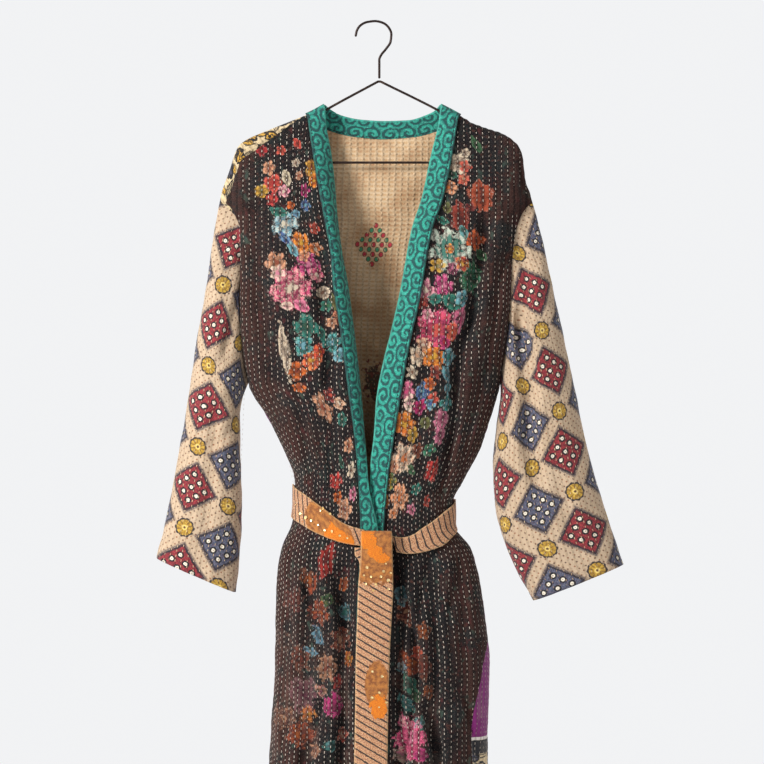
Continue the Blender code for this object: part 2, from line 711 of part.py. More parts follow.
second = [
    (low, read(SECOND_END, low, 1), read(SECOND_END, low, 2), depth_at(low, 0) + BELT_GAP + BELT_CLOTH)
    for low in spaced(SECOND_END[0][0], SECOND_END[-1][0], 15)
]
piece("belt_second_end", wall(*build_tail(second), BELT_CLOTH), (0.55, 0.36, 0.2), 0.8)

left_arm = curve_through(ARM_WIRE[-1], 26)
right_arm = curve_through(ARM_WIRE[1], 26)
piece("hanger_frame", tube(left_arm[::-1] + right_arm, WIRE, ring=True), (0.045, 0.028, 0.024), 0.4, 0.8)
piece("hanger_hook", tube(curve_through(HOOK_WIRE, 34), WIRE), (0.045, 0.028, 0.024), 0.4, 0.8)
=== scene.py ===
import math

import bpy
import numpy as np
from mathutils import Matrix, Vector


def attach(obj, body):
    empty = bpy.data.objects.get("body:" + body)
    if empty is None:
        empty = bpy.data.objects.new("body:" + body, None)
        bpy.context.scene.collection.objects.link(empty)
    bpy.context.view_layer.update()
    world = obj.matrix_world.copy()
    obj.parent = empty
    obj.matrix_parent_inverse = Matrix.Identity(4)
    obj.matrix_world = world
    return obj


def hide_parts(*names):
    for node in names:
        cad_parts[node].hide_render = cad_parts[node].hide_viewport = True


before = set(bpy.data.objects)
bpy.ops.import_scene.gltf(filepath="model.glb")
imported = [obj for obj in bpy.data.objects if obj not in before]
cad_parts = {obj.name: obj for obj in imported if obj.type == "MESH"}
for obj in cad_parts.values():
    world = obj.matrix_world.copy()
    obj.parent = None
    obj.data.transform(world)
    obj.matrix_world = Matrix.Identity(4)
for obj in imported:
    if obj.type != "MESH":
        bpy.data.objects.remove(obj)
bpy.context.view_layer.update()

# The photograph: a square picture, taken straight on from far away, that cuts the coat off above its hem.
# One of its points is 1.47 mm on the coat, and the hook's inside top is at HOOK_AT.
PHOTO_SIDE = 764
PHOTO_POINT = 1.47
HOOK_AT = (375.3, 22.5)
MM = 0.001
LENS, FILM, FAR = 160.0, 36.0, 4.99
middle = ((PHOTO_SIDE / 2 - HOOK_AT[0]) * PHOTO_POINT, (HOOK_AT[1] - PHOTO_SIDE / 2) * PHOTO_POINT)

camera = bpy.data.objects.new("camera", bpy.data.cameras.new("camera"))
bpy.context.scene.collection.objects.link(camera)
camera.location = (middle[0] * MM, -FAR, middle[1] * MM)
camera.rotation_euler = (math.pi / 2, 0, 0)
camera.data.lens, camera.data.sensor_width = LENS, FILM
camera.data.clip_end = 40
bpy.context.scene.camera = camera


def in_photo(points):
    """Where points of the coat, in millimetres, lie in the photograph."""
    near = FAR / MM + points[:, 1]
    scale = LENS / FILM * PHOTO_SIDE / near
    across = PHOTO_SIDE / 2 + (points[:, 0] - middle[0]) * scale
    return np.stack([across, PHOTO_SIDE / 2 - (points[:, 2] - middle[1]) * scale], axis=1)


# The studio: white all round, a large soft lamp high on the left, a weak one on the right, and a pale
# floor under the hem.
FLOOR = -1.47
view = bpy.context.scene.view_settings
view.view_transform, view.look = "Standard", "None"
world = bpy.data.worlds.new("studio")
bpy.context.scene.world = world
world.use_nodes = True
sky, sky_links = world.node_tree.nodes, world.node_tree.links
toward = sky.new("ShaderNodeTexCoord")
parts = sky.new("ShaderNodeSeparateXYZ")
ramp = sky.new("ShaderNodeMapRange")
ramp.inputs["From Min"].default_value, ramp.inputs["From Max"].default_value = -0.5, 0.8
ramp.inputs["To Min"].default_value, ramp.inputs["To Max"].default_value = 0.45, 1.0
sky_links.new(toward.outputs["Generated"], parts.inputs[0])
sky_links.new(parts.outputs["Y"], ramp.inputs["Value"])
sky_links.new(ramp.outputs["Result"], sky["Background"].inputs["Strength"])
sky["Background"].inputs["Color"].default_value = (0.885, 0.892, 0.905, 1)


def lamp(name, place, target, size, power):
    light = bpy.data.lights.new(name, "AREA")
    light.shape, light.size, light.energy = "DISK", size, power
    thing = bpy.data.objects.new(name, light)
    bpy.context.scene.collection.objects.link(thing)
    thing.location = place
    thing.rotation_euler = (Vector(target) - Vector(place)).to_track_quat("-Z", "Y").to_euler()


lamp("key_light", (-2.6, -2.4, 0.9), (0, 0, -0.6), 1.1, 175)
lamp("fill_light", (2.6, -2.2, 0.2), (0, 0, -0.7), 2.2, 10)
lamp("back_light", (0.5, 2.8, 0.8), (0, 0, -0.6), 2.0, 30)

floor_mesh = bpy.data.meshes.new("floor")
floor_mesh.from_pydata([(-3, -3, FLOOR), (3, -3, FLOOR), (3, 3, FLOOR), (-3, 3, FLOOR)], [], [(0, 1, 2, 3)])
floor = bpy.data.objects.new("floor", floor_mesh)
bpy.context.scene.collection.objects.link(floor)
floor_paint = bpy.data.materials.new("floor_paint")
floor_paint.use_nodes = True
floor_paint.node_tree.nodes["Principled BSDF"].inputs["Base Color"].default_value = (0.82, 0.82, 0.83, 1)
floor_paint.node_tree.nodes["Principled BSDF"].inputs["Roughness"].default_value = 0.7
floor_mesh.materials.append(floor_paint)


# The hanger, a thin steel wire with dark bronze lacquer: one length bent into the hook and one into the
# arms and the bar, met under the hook.
class Value:
    """A number, place or colour that varies over a finish. Sums on it make the nodes."""

    def __init__(self, finish, socket):
        self.finish, self.socket = finish, socket

    def math(self, operation, other=0.0):
        return self.finish.node("Math", {"operation": operation}, {0: self, 1: other})

    def __add__(self, other):
        return self.math("ADD", other)

    __radd__ = __add__

    def __sub__(self, other):
        return self.math("SUBTRACT", other)

    def __rsub__(self, other):
        return self.finish.node("Math", {"operation": "SUBTRACT"}, {0: other, 1: self})

    def __mul__(self, other):
        return self.math("MULTIPLY", other)

    __rmul__ = __mul__

    def __truediv__(self, other):
        return self.math("DIVIDE", other)

    def __mod__(self, other):
        return self.math("FLOORED_MODULO", other)

    def __abs__(self):
        return self.math("ABSOLUTE")

    def rise(self, low, high):
        """0 under low, 1 over high, and a soft step between; from high to low it falls."""
        ends = (low, high, 0.0, 1.0) if low < high else (high, low, 1.0, 0.0)
        return self.finish.node(
            "MapRange", {"interpolation_type": "SMOOTHSTEP"},
            {0: self, 1: ends[0], 2: ends[1], 3: ends[2], 4: ends[3]},
        )


class Finish:
    """The look of one cloth or metal."""

    def __init__(self, name, roughness=0.9, metallic=0.0, sheen=0.0):
        self.material = bpy.data.materials.new(name)
        self.material.use_nodes = True
        self.tree = self.material.node_tree
        self.shader = self.tree.nodes["Principled BSDF"]
        self.shader.inputs["Roughness"].default_value = roughness
        self.shader.inputs["Metallic"].default_value = metallic
        self.shader.inputs["Sheen Weight"].default_value = sheen
        self.shader.inputs["Sheen Roughness"].default_value = 0.6

    def put(self, socket, value):
        if isinstance(value, Value):
            self.tree.links.new(value.socket, socket)
        elif isinstance(value, (tuple, list)) and len(value) == 3 and len(socket.default_value) == 4:
            socket.default_value = (*value, 1.0)
        else:
            socket.default_value = value

    def node(self, kind, settings=None, inputs=None, output=0):
        made = self.tree.nodes.new("ShaderNode" + kind)
        for name, value in (settings or {}).items():
            setattr(made, name, value)
        for key, value in (inputs or {}).items():
            self.put(made.inputs[key], value)
        return Value(self, made.outputs[output])

    def two_of(self, vector):
        """The first two numbers of a place or a colour."""
        return [self.node("SeparateXYZ", {}, {0: vector}, output) for output in (0, 1)]

    def place(self, map_name):
        """The two coordinates of a map that the mesh carries."""
        return self.two_of(self.node("UVMap", {"uv_map": map_name}))

    def on_object(self):
        return self.node("TexCoord", {}, {}, "Object")

    def at(self, x, y, z=0.0):
        return self.node("CombineXYZ", {}, {0: x, 1: y, 2: z})

    def carried(self, name, output="Color"):
        return self.node("Attribute", {"attribute_name": name}, {}, output)

    def noise(self, where, scale, detail=2.0, output=0):
        return self.node("TexNoise", {}, {"Vector": where, "Scale": scale, "Detail": detail}, output)

    def mix(self, share, first, second):
        """Colours, from the first to the second."""
        return self.node("Mix", {"data_type": "RGBA"}, {0: share, 6: first, 7: second}, 2)

    def coated(self, colour, *coats):
        """A colour under some coats, each given by its share and its own colour."""
        for share, coat in coats:
            colour = self.mix(share, colour, coat)
        return colour

    def blended(self, first, second):
        """Colours, multiplied."""
        settings = {"data_type": "RGBA", "blend_type": "MULTIPLY"}
        return self.node("Mix", settings, {0: 1.0, 6: first, 7: second}, 2)

    def paint(self, colour=None, roughness=None, height=None, depth=0.0005):
        if colour is not None:
            self.put(self.shader.inputs["Base Color"], colour)
        if roughness is not None:
            self.put(self.shader.inputs["Roughness"], roughness)
        if height is not None:
            bump = self.node("Bump", {}, {"Strength": 1.0, "Distance": depth, "Height": height})
            self.put(self.shader.inputs["Normal"], bump)
        return self.material


def piece(name, verts, faces, materials, face_kinds=None):
    """A mesh piece from points in millimetres."""
    mesh = bpy.data.meshes.new(name)
    mesh.from_pydata((np.asarray(verts) * MM).tolist(), [], [tuple(face) for face in faces])
    mesh.polygons.foreach_set("use_smooth", [True] * len(faces))
    for material in materials:
        mesh.materials.append(material)
    if face_kinds is not None:
        mesh.polygons.foreach_set("material_index", np.asarray(face_kinds, dtype=np.int32))
    thing = bpy.data.objects.new(name, mesh)
    bpy.context.scene.collection.objects.link(thing)
    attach(thing, "root")
    return thing


def smooth(value):
    value = min(max(value, 0.0), 1.0)
    return value * value * (3 - 2 * value)


def eased(values):
    """The same soft step for a whole array."""
    values = np.clip(values, 0, 1)
    return values * values * (3 - 2 * values)


def spaced(first, last, count):
    return [first + (last - first) * n / (count - 1) for n in range(count)]


def read(rows, at, column=1):
    """The value of a column where the first column is `at`, on a curve through the rows."""
    if at <= rows[0][0]:
        return rows[0][column]
    if at >= rows[-1][0]:
        return rows[-1][column]
    k = 0
    while rows[k + 1][0] < at:
        k += 1
    x0, x1 = rows[k][0], rows[k + 1][0]
    y0, y1 = rows[k][column], rows[k + 1][column]
    slope = (y1 - y0) / (x1 - x0)
    before = after = slope
    if k > 0:
        last = (y0 - rows[k - 1][column]) / (x0 - rows[k - 1][0])
        before = 0.0 if last * slope <= 0 else 2 * last * slope / (last + slope)
    if k + 2 < len(rows):
        then = (rows[k + 2][column] - y1) / (rows[k + 2][0] - x1)
        after = 0.0 if then * slope <= 0 else 2 * then * slope / (then + slope)
    t = (at - x0) / (x1 - x0)
    step = x1 - x0
    return (
        (2 * t**3 - 3 * t**2 + 1) * y0 + (t**3 - 2 * t**2 + t) * step * before
        + (3 * t**2 - 2 * t**3) * y1 + (t**3 - t**2) * step * after
    )


def walk(points, t):
    """The point at the fraction t of a line through the points, by its length."""
    lengths = [0.0]
    for a, b in zip(points, points[1:]):
        lengths.append(lengths[-1] + math.dist(a, b))
    rows = [(length, *point) for length, point in zip(lengths, points)]
    at = t * lengths[-1]
    return tuple(read(rows, at, 1 + k) for k in range(len(points[0])))


WIRE = 1.8
ARM_WIRE = {
    -1: [(3.9, 87), (-75, 130), (-98, 144), (-121, 152.5), (-153, 166.5), (-186, 181), (-196, 188),
         (-200, 196), (-196, 203.5), (-187, 206)],
    1: [(7.9, 87), (92, 129), (121, 146), (144, 157.5), (178, 169), (196, 179), (203.5, 189), (201, 200),
        (192, 206)],
}
HOOK_WIRE = [
    (-29, 21), (-27, 12), (-21.5, 4.2), (-12, -0.5), (0, -1.9), (11.5, 0.8), (20, 8), (23.6, 17), (22.5, 28),
    (15, 40), (8.6, 48), (5.9, 55), (5.9, 70), (5.9, 82.5),
]


def wire(name, path, ring):
    """A round wire along a path in the hanger's plane; an open one has domed ends."""
    around, count = 14, len(path)
    verts, faces = [], []
    for k, (x, low) in enumerate(path):
        before = path[k - 1] if ring or k else path[0]
        after = path[(k + 1) % count] if ring else path[min(k + 1, count - 1)]
        run = math.dist(before, after)
        flat = (-(after[1] - before[1]) / run, (after[0] - before[0]) / run)
        thick = WIRE if ring or 0 < k < count - 1 else WIRE * 0.55
        for m in range(around):
            turn = 2 * math.pi * m / around
            across = thick * math.cos(turn)
            verts.append((x + flat[0] * across, thick * math.sin(turn), -(low + flat[1] * across)))
    for k in range(count if ring else count - 1):
        for m in range(around):
            a, b, n = k * around, (k + 1) % count * around, (m + 1) % around
            faces.append((a + m, a + n, b + n, b + m))
    if not ring:
        faces += [tuple(reversed(range(around))), tuple((count - 1) * around + m for m in range(around))]
    return piece(name, verts, faces, [lacquer])


bronze = Finish("dark_bronze_lacquer", metallic=0.75)
spot = bronze.on_object()
worn = bronze.noise(spot, 55.0, 4.0).rise(0.5, 0.72)
grain = bronze.noise(spot, 900.0, 2.0)
lacquer = bronze.paint(
    bronze.mix(worn * 0.5, (0.030, 0.018, 0.015), (0.16, 0.10, 0.075)), 0.34 + 0.16 * grain, grain, 0.00006
)
frame_path = [walk(ARM_WIRE[-1], t) for t in spaced(1, 0, 90)]
frame_path += [walk(ARM_WIRE[1], t) for t in spaced(0, 1, 90)]
hanger_frame = wire("hanger_wire_frame", frame_path, True)
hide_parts("hanger_frame")
hook_path = [walk(HOOK_WIRE, t) for t in spaced(0, 1, 100)]
hanger_hook = wire("hanger_wire_hook", hook_path, False)
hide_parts("hanger_hook")


# The back: quilted two-layer cotton, cut in one from the shoulders to the hem, with a pale leaf print and a
# purple panel outside, and a tan checked lining that shows in the neck opening. It hangs from the wire arms.
RIDGE = 7.0            # radius of the cloth where it folds over the hanger's arm
ARM_TOP = 266.0        # the sleeve's highest point
UNDERARM = 530.0
HEM = 1341.0
SQUARENESS = 2.5       # of the body's cross-section, where 2 is an ellipse
ARM_FRONT = 24.0       # how far the armhole seam stands out in front and behind
BACK_START = 64.0      # and where the back begins
NECK_SHARE = 0.42      # share of the back's upper edge that is the neck

# The body under the arms: half widths left and right of the hook, depths in front and behind.
BODY = [
    # low, left, right, front, back
    (120, 100, 120, 30, 12),
    (190, 190, 200, 36, 18),
    (300, 199, 205, 50, 27),
    (400, 198, 199, 58, 36),
    (480, 194, 190, 61, 43),
    (530, 186, 183, 61, 47),
    (584, 156, 168, 60, 50),
    (628, 134, 153, 59, 52),
    (673, 118, 129, 58, 53),
    (705, 117, 114, 57, 54),
    (735, 122, 114, 57, 54),
    (775, 138, 141, 62, 60),
    (810, 144, 151, 69, 68),
    (872, 146, 161, 77, 78),
    (943, 147, 168, 82, 84),
    (1058, 154, 165, 86, 88),
    (1200, 161, 166, 89, 91),
    (1341, 168, 171, 92, 94),
]

# The top outline of each half, from the band's seam over the hanger's arm to the sleeve's seam.
OUTLINE = {
    -1: [(101, 136), (124, 145), (156, 158), (190, 173), (201, 182), (207, 195), (214, 217), (225, 248),
         (229, 266)],
    1: [(124, 137), (147, 150), (180, 161), (201, 172), (211, 183), (216, 198), (220, 228), (227, 250),
        (232, 266)],
}

# The armhole seam as seen from the front, from the sleeve's top down to the underarm.
ARMHOLE = {
    -1: [(266, 229), (284, 211), (310, 202), (400, 199), (480, 195), (530, 187)],
    1: [(266, 232), (284, 219), (327, 206), (400, 199), (480, 190), (530, 183)],
}

FOLDS_BACK = [
    ((330, -150), (450, -140), (580, -118), (690, -88), 22, 8),
    ((330, 146), (450, 140), (580, 120), (690, 90), 22, 8),
    ((420, -60), (500, -54), (600, -46), (690, -40), 18, 5),
    ((420, 72), (500, 60), (600, 50), (690, 44), 18, 5),
    ((770, -112), (900, -118), (1050, -120), (1341, -126), 18, 12),
    ((770, -62), (900, -66), (1050, -70), (1341, -72), 19, 15),
    ((770, -14), (900, -14), (1050, -10), (1341, -12), 18, 11),
    ((770, 38), (900, 42), (1050, 44), (1341, 46), 19, 15),
    ((770, 92), (900, 98), (1050, 104), (1341, 106), 19, 12),
]

# The back of the neck, where the band is sewn on, and the band's upper edge there.
NECK_SEAM = [
    # x, y, low
    (-104, 5, 139), (-88, 12, 150), (-70, 16, 158), (-34, 19, 167), (12, 20, 171), (56, 19, 168),
    (92, 16, 159), (110, 12, 151), (127, 5, 140),
]

# The belt's middle line and half width on the front of the waist, and level behind.
BELT_FRONT = [
    # angle from the left side seam through the front to the right, low, half width
    (-90, 701, 23), (-60, 712, 22), (-35, 730, 19), (-14, 749, 14), (0, 757, 12), (14, 766, 12),
    (35, 754, 16), (60, 735, 19), (90, 722, 20),
]


def round_part(value, power):
    return math.copysign(abs(value) ** power, value)


def belt_low(angle):
    """The height of the belt's middle at an angle round the waist; 0 is the front, 180 the back."""
    if abs(angle) <= 90:
        return read(BELT_FRONT, angle, 1)
    turn = angle if angle > 0 else angle + 360
    return 722 + (701 - 722) * smooth((turn - 90) / 180)


def depth_at(low, angle):
    """The body's depth, drawn in where the belt lies and not level with it."""
    near = math.exp(-((low - 730) / 110) ** 2)
    column = 3 if abs(angle) <= 90 else 4
    return read(BODY, low - (belt_low(angle) - 712) * near, column)


def sides(low):
    """The x of the left and right edge of the body: the armhole seams, and the sides under them."""
    if low < UNDERARM:
        return -read(ARMHOLE[-1], low), read(ARMHOLE[1], low)
    return -read(BODY, low, 1), read(BODY, low, 2)


def around(angle, low):
    """Where the plain body stands at an angle: x, and the share of its depth in front or behind."""
    left, right = sides(low)
    power = 2 / SQUARENESS
    across = round_part(math.sin(math.radians(angle)), power)
    ahead = round_part(math.cos(math.radians(angle)), power)
    return (left + right) / 2 + (right - left) / 2 * across, ahead


def fold_depth(folds, x, low, angle):
    """The depth of the folds at a place; they end softly above and below and at the belt."""
    total = 0.0
    for *places, half_width, depth in folds:
        top, bottom = places[0][0], places[-1][0]
        if low < top - 60 or low > bottom + 60:
            continue
        rise = smooth((low - top + 60) / 110)
        fall = 1.0 if bottom > HEM - 1 else 1.0 - smooth((low - bottom + 50) / 90)
        off = (x - read(places, low)) / half_width
        if abs(off) < 1:
            total += depth * rise * fall * math.cos(off * math.pi / 2) ** 2
    free = smooth((abs(low - belt_low(angle)) - 24) / 46)
    return total * free


def shoulder(side, u, turn):
    """The cloth where it folds over the hanger's arm. u runs from the neck to the sleeve, and turn is 0
    on the ridge, 90 in front of it and -90 behind."""
    x, low = walk(OUTLINE[side], u)
    before, after = walk(OUTLINE[side], max(u - 0.05, 0)), walk(OUTLINE[side], min(u + 0.05, 1))
    run = math.dist(before, after)
    away, up = (after[1] - before[1]) / run, (after[0] - before[0]) / run
    drop = RIDGE * (1 - math.cos(math.radians(turn)))
    return side * (x - away * drop), -RIDGE * math.sin(math.radians(turn)), -(low + up * drop)


def low_at(top_low, v):
    """The height of a column that starts at top_low: v is 0 there, 1 at the underarm and 2 at the hem."""
    if v <= 1:
        return top_low + (UNDERARM - top_low) * v
    return UNDERARM + (HEM - UNDERARM) * (v - 1)


def hang(top, top_angle, angle, v):
    """A point of the column that hangs from top, facing the given angles there and here."""
    top_low = -top[2]
    low = low_at(top_low, v)
    arm = ARM_FRONT * math.sin(math.pi * v) if v < 1 else 0.0
    x, ahead = around(angle, max(low, ARM_TOP))
    x += (top[0] - around(top_angle, max(top_low, ARM_TOP))[0]) * (1 - smooth(v * 1.5))
    spread = 1 - math.exp(-(low - top_low) / 70)
    start = abs(top[1]) * (1 - v if v < 1 else 0)
    depth = start + (depth_at(low, angle) - start) * spread * abs(ahead)
    depth = max(depth, 0.0) + arm * (1 - abs(ahead))
    return x, math.copysign(depth, -math.cos(math.radians(angle))), -low


def back_point(s, v):
    """The back: s runs from -1 at the left side to 1 at the right, v from 0 at the top to 1 at the
    underarm and 2 at the hem."""
    if abs(s) >= NECK_SHARE:
        top = shoulder(-1 if s < 0 else 1, (abs(s) - NECK_SHARE) / (1 - NECK_SHARE), -BACK_START)
    else:
        x, y, low = walk(NECK_SEAM, (s / NECK_SHARE + 1) / 2)
        top = (x, y, -low)
    angle = 180 - 90 * s if s >= 0 else -180 - 90 * s
    if abs(angle) < 90.001:
        angle = math.copysign(90.001, angle)
    x, y, z = hang(top, angle, angle, v)
    inner = 1 - smooth((abs(s) - 0.9) / 0.1)
    y -= fold_depth(FOLDS_BACK, x, -z, angle) * inner * smooth(v * 3)
    return x, y, z


def rgb(red, green, blue):
    """A colour as the eye names it, from 0 to 255, as the share of light that it throws back."""
    return tuple(
        c / 255 / 12.92 if c < 10.3 else ((c / 255 + 0.055) / 1.055) ** 2.4 for c in (red, green, blue)
    )


def unevenness(across, down, size, seed):
    """Soft random waves over the flat cloth, from -1 to 1, about `size` millimetres wide."""
    dice = np.random.default_rng(seed)
    total = np.zeros_like(across)
    for _ in range(9):
        turn, phase = dice.uniform(0, 2 * math.pi, 2)
        rate = 2 * math.pi / size * dice.uniform(0.6, 1.5)
        total += np.sin(rate * (across * math.cos(turn) + down * math.sin(turn)) + phase)
    return total / 4


class Cloth:
    """One sewn piece of cloth: a grid of points on its outer face, in millimetres, and how far across
    and down the flat cloth each of them lies."""

    def __init__(self, points, toward, ring=False):
        self.points, self.toward, self.ring = np.array(points, dtype=float), toward, ring

    def closed_up(self, values):
        """The values with the first column repeated at the end of a ring."""
        return np.concatenate([values, values[:, :1]], axis=1) if self.ring else values

    def normals(self):
        grid = self.points
        if self.ring:
            wide = np.concatenate([grid[:, -1:], grid, grid[:, :1]], axis=1)
            sideways = np.gradient(wide, axis=1)[:, 1:-1]
        else:
            sideways = np.gradient(grid, axis=1)
        ways = np.cross(np.gradient(grid, axis=0), sideways)
        ways /= np.maximum(np.linalg.norm(ways, axis=2, keepdims=True), 1e-9)
        rows, columns = grid.shape[:2]
        column = columns * 3 // 4 if self.ring else columns // 2
        self.flipped = np.dot(ways[rows // 2, column], self.toward) < 0
        return -ways if self.flipped else ways

    def raise_by(self, height):
        self.points += self.normals() * height[..., None]

    def crease(self, rows):
        """Soft ridges (a height above 0) and troughs along short lines, given by x and length below the
        hook at both ends, half width, height and whether they are in front (-1) or behind (1)."""
        x, low = self.points[..., 0], -self.points[..., 2]
        ways = self.normals()
        total = np.zeros_like(x)
        for x0, low0, x1, low1, half, height, face in rows:
            run = math.hypot(x1 - x0, low1 - low0)
            ax, ay = (x1 - x0) / run, (low1 - low0) / run
            along = ((x - x0) * ax + (low - low0) * ay) / run
            off = ((x - x0) * ay - (low - low0) * ax + 0.06 * run * np.sin(along * 5 + x0)) / half
            ends = eased(np.clip((along + 0.15) / 0.3, 0, 1) * np.clip((1.15 - along) / 0.3, 0, 1))
            near = np.clip(ways[..., 1] * face * 2.2, 0, 1)
            total += height * np.exp(-off * off) * ends * near
        self.points += ways * total[..., None]

    def measure(self, across, down):
        self.across, self.down = across, down

    def put_together(self, name, thickness, finishes):
        """The piece with both faces and its rims; its inside has the second finish."""
        grid, ways = self.points, self.normals()
        rows, columns = grid.shape[:2]
        inner = grid - ways * thickness
        span = columns if self.ring else columns - 1
        row, column = np.meshgrid(np.arange(rows - 1), np.arange(span), indexing="ij")
        row, column = row.ravel(), column.ravel()
        corner_rows = np.stack([row, row + 1, row + 1, row], axis=1)
        corner_columns = np.stack([column, column, column + 1, column + 1], axis=1)
        if self.flipped:
            corner_rows, corner_columns = corner_rows[:, ::-1], corner_columns[:, ::-1]
        outer = corner_rows * columns + corner_columns % columns
        under = outer[:, ::-1] + rows * columns
        kinds = np.zeros(len(outer) * 2, dtype=np.int32)
        kinds[len(outer):] = len(finishes) - 1
        rim, rim_at = [], []
        edges = [[(0, j) for j in range(span + 1)], [(rows - 1, j) for j in range(span, -1, -1)]]
        if not self.ring:
            edges += [[(i, 0) for i in range(rows - 1, -1, -1)], [(i, columns - 1) for i in range(rows)]]
        for edge in edges:
            for (i0, j0), (i1, j1) in zip(edge, edge[1:]):
                a, b = i0 * columns + j0 % columns, i1 * columns + j1 % columns
                quad = (a, b, b + rows * columns, a + rows * columns)
                at = [(i0, j0), (i1, j1), (i1, j1), (i0, j0)]
                rim.append(quad[::-1] if self.flipped else quad)
                rim_at.append(at[::-1] if self.flipped else at)
        rim_at = np.array(rim_at)
        faces = np.concatenate([outer, under, np.array(rim)])
        self.corner_rows = np.concatenate([corner_rows, corner_rows[:, ::-1], rim_at[..., 0]])
        self.corner_columns = np.concatenate([corner_columns, corner_columns[:, ::-1], rim_at[..., 1]])
        self.faces_outside = len(outer)
        kinds = np.concatenate([kinds, np.zeros(len(rim), dtype=np.int32)])
        verts = np.concatenate([grid.reshape(-1, 3), inner.reshape(-1, 3)])
        self.thing = piece(name, verts, faces.tolist(), finishes, kinds)
        self.map("cloth", np.stack([self.at_corners(self.across), self.at_corners(self.down)], axis=-1) * MM)
        return self.thing

    def at_corners(self, values):
        return values[self.corner_rows, self.corner_columns]

    def map(self, name, pairs):
        layer = self.thing.data.uv_layers.new(name=name)
        layer.data.foreach_set("uv", np.asarray(pairs, dtype=np.float32).ravel())

    def seen_at(self, px, py, inside=False):
        """How far across and down the cloth the place lies that the photograph shows at a point."""
        flat = in_photo(self.points.reshape(-1, 3))
        facing = self.normals()[..., 1].ravel() * (-1 if inside else 1) < 0.05
        off = np.hypot(flat[:, 0] - px, flat[:, 1] - py) + np.where(facing, 0, 400)
        k = int(np.argmin(off))
        columns = self.points.shape[1]
        i, j = k // columns, k % columns
        return self.across[i, j], self.down[i, j]

    def print_on(self, layer, motifs):
        """Gives each outer face the nearest motif of a print, as its own coordinates and colours."""
        centres = np.array([row[:2] for row in motifs], dtype=float)
        turn = np.radians(np.array([row[4] for row in motifs], dtype=float))
        half = np.array([row[2:4] for row in motifs], dtype=float)
        across, down = self.at_corners(self.across), self.at_corners(self.down)
        middle_across, middle_down = across.mean(axis=1), down.mean(axis=1)
        best, chosen = np.full(len(across), 1.45), np.full(len(across), -1)
        for n, (u, v) in enumerate(centres):
            du, dv = middle_across - u, middle_down - v
            a = (du * math.cos(turn[n]) + dv * math.sin(turn[n])) / half[n, 0]
            b = (dv * math.cos(turn[n]) - du * math.sin(turn[n])) / half[n, 1]
            far = np.hypot(a, b)
            nearer = far < best
            best[nearer], chosen[nearer] = far[nearer], n
        chosen[self.faces_outside:2 * self.faces_outside] = -1
        pairs = np.full((len(across), 4, 2), 9.0)
        main, heart = np.zeros((len(across), 4, 4)), np.zeros((len(across), 4, 4))
        for n, row in enumerate(motifs):
            faces = np.nonzero(chosen == n)[0]
            du, dv = across[faces] - row[0], down[faces] - row[1]
            pairs[faces, :, 0] = (du * math.cos(turn[n]) + dv * math.sin(turn[n])) / row[2]
            pairs[faces, :, 1] = (dv * math.cos(turn[n]) - du * math.sin(turn[n])) / row[3]
            main[faces] = (*rgb(*row[6]), row[8])
            heart[faces] = (*rgb(*row[7]), row[5] / 10)
        self.map(layer, pairs)
        for name, values in ((layer + "_main", main), (layer + "_heart", heart)):
            made = self.thing.data.color_attributes.new(name, "FLOAT_COLOR", "CORNER")
            made.data.foreach_set("color", values.astype(np.float32).ravel())


def lengths(points, axis):
    """How far each point lies along the cloth from the first row (axis 0) or the first column (axis 1)."""
    steps = np.linalg.norm(np.diff(points, axis=axis), axis=2)
    return np.insert(np.cumsum(steps, axis=axis), 0, 0.0, axis=axis)


def down_from_the_top(points):
    """How far down the flat cloth each point lies: along the cloth at the shoulder, and level all round
    from the waist down."""
    down = lengths(points, 0) - points[:1, :, 2]
    level = -points[..., 2]
    return down - (down - level) * eased((level - 250) / 400)


CLOTH = 2.0
STITCH_ROWS = 9.6       # between two lines of running stitches
STITCH_PITCH = 7.4      # from one stitch of a line to the next
QUILT_RIPPLE = 0.7      # how far the cloth rises between the lines
HALF_BACK_FULL = 300.0  # width of half the back's cloth at the hem
BACK_DRAWN_IN = (480, 700)      # where it starts and ends to be gathered


def quilt(cloth, seed, uneven=0.5):
    """The soft ripple of a hand-quilted cloth: low at its stitch lines and a little uneven."""
    wave = 0.5 - 0.5 * np.cos(2 * math.pi * cloth.across / STITCH_ROWS)
    jitter = unevenness(cloth.across, cloth.down, 46, seed)
    jitter = jitter + 0.6 * unevenness(cloth.across, cloth.down * 1.6, 17, seed + 1)
    cloth.raise_by(QUILT_RIPPLE * (wave - 0.5) + uneven * jitter)


def lying_flat(points, levels, full, drawn_in, plumb=None):
    """How far across the flat cloth each point lies, from the first column: rows under the level drawn_in
    are gathered from the full width, and those over it run true to a plumb line."""
    across = lengths(points, 1)
    if plumb is not None:
        marks = np.array([
            np.interp(-abs(plumb), -np.abs(row[:, 0]), out) for row, out in zip(points, across)
        ])
        first = int(np.argmin(np.abs(levels - drawn_in[0])))
        shift = np.where(np.arange(len(marks)) < first, marks[first] - marks, 0.0)
        hanging = marks[first] + (abs(plumb) - np.abs(points[..., 0])) * 1.05
        above = eased((drawn_in[0] - levels) / 110)[:, None]
        across = (across + shift[:, None]) * (1 - above) + hanging * above
    width = across[:, -1:] - across[:, :1]
    gathered = (across - across[:, :1]) * full / np.maximum(width, 1e-6)
    share = eased((levels - drawn_in[0]) / (drawn_in[1] - drawn_in[0]))[..., None]
    return across * (1 - share) + gathered * share


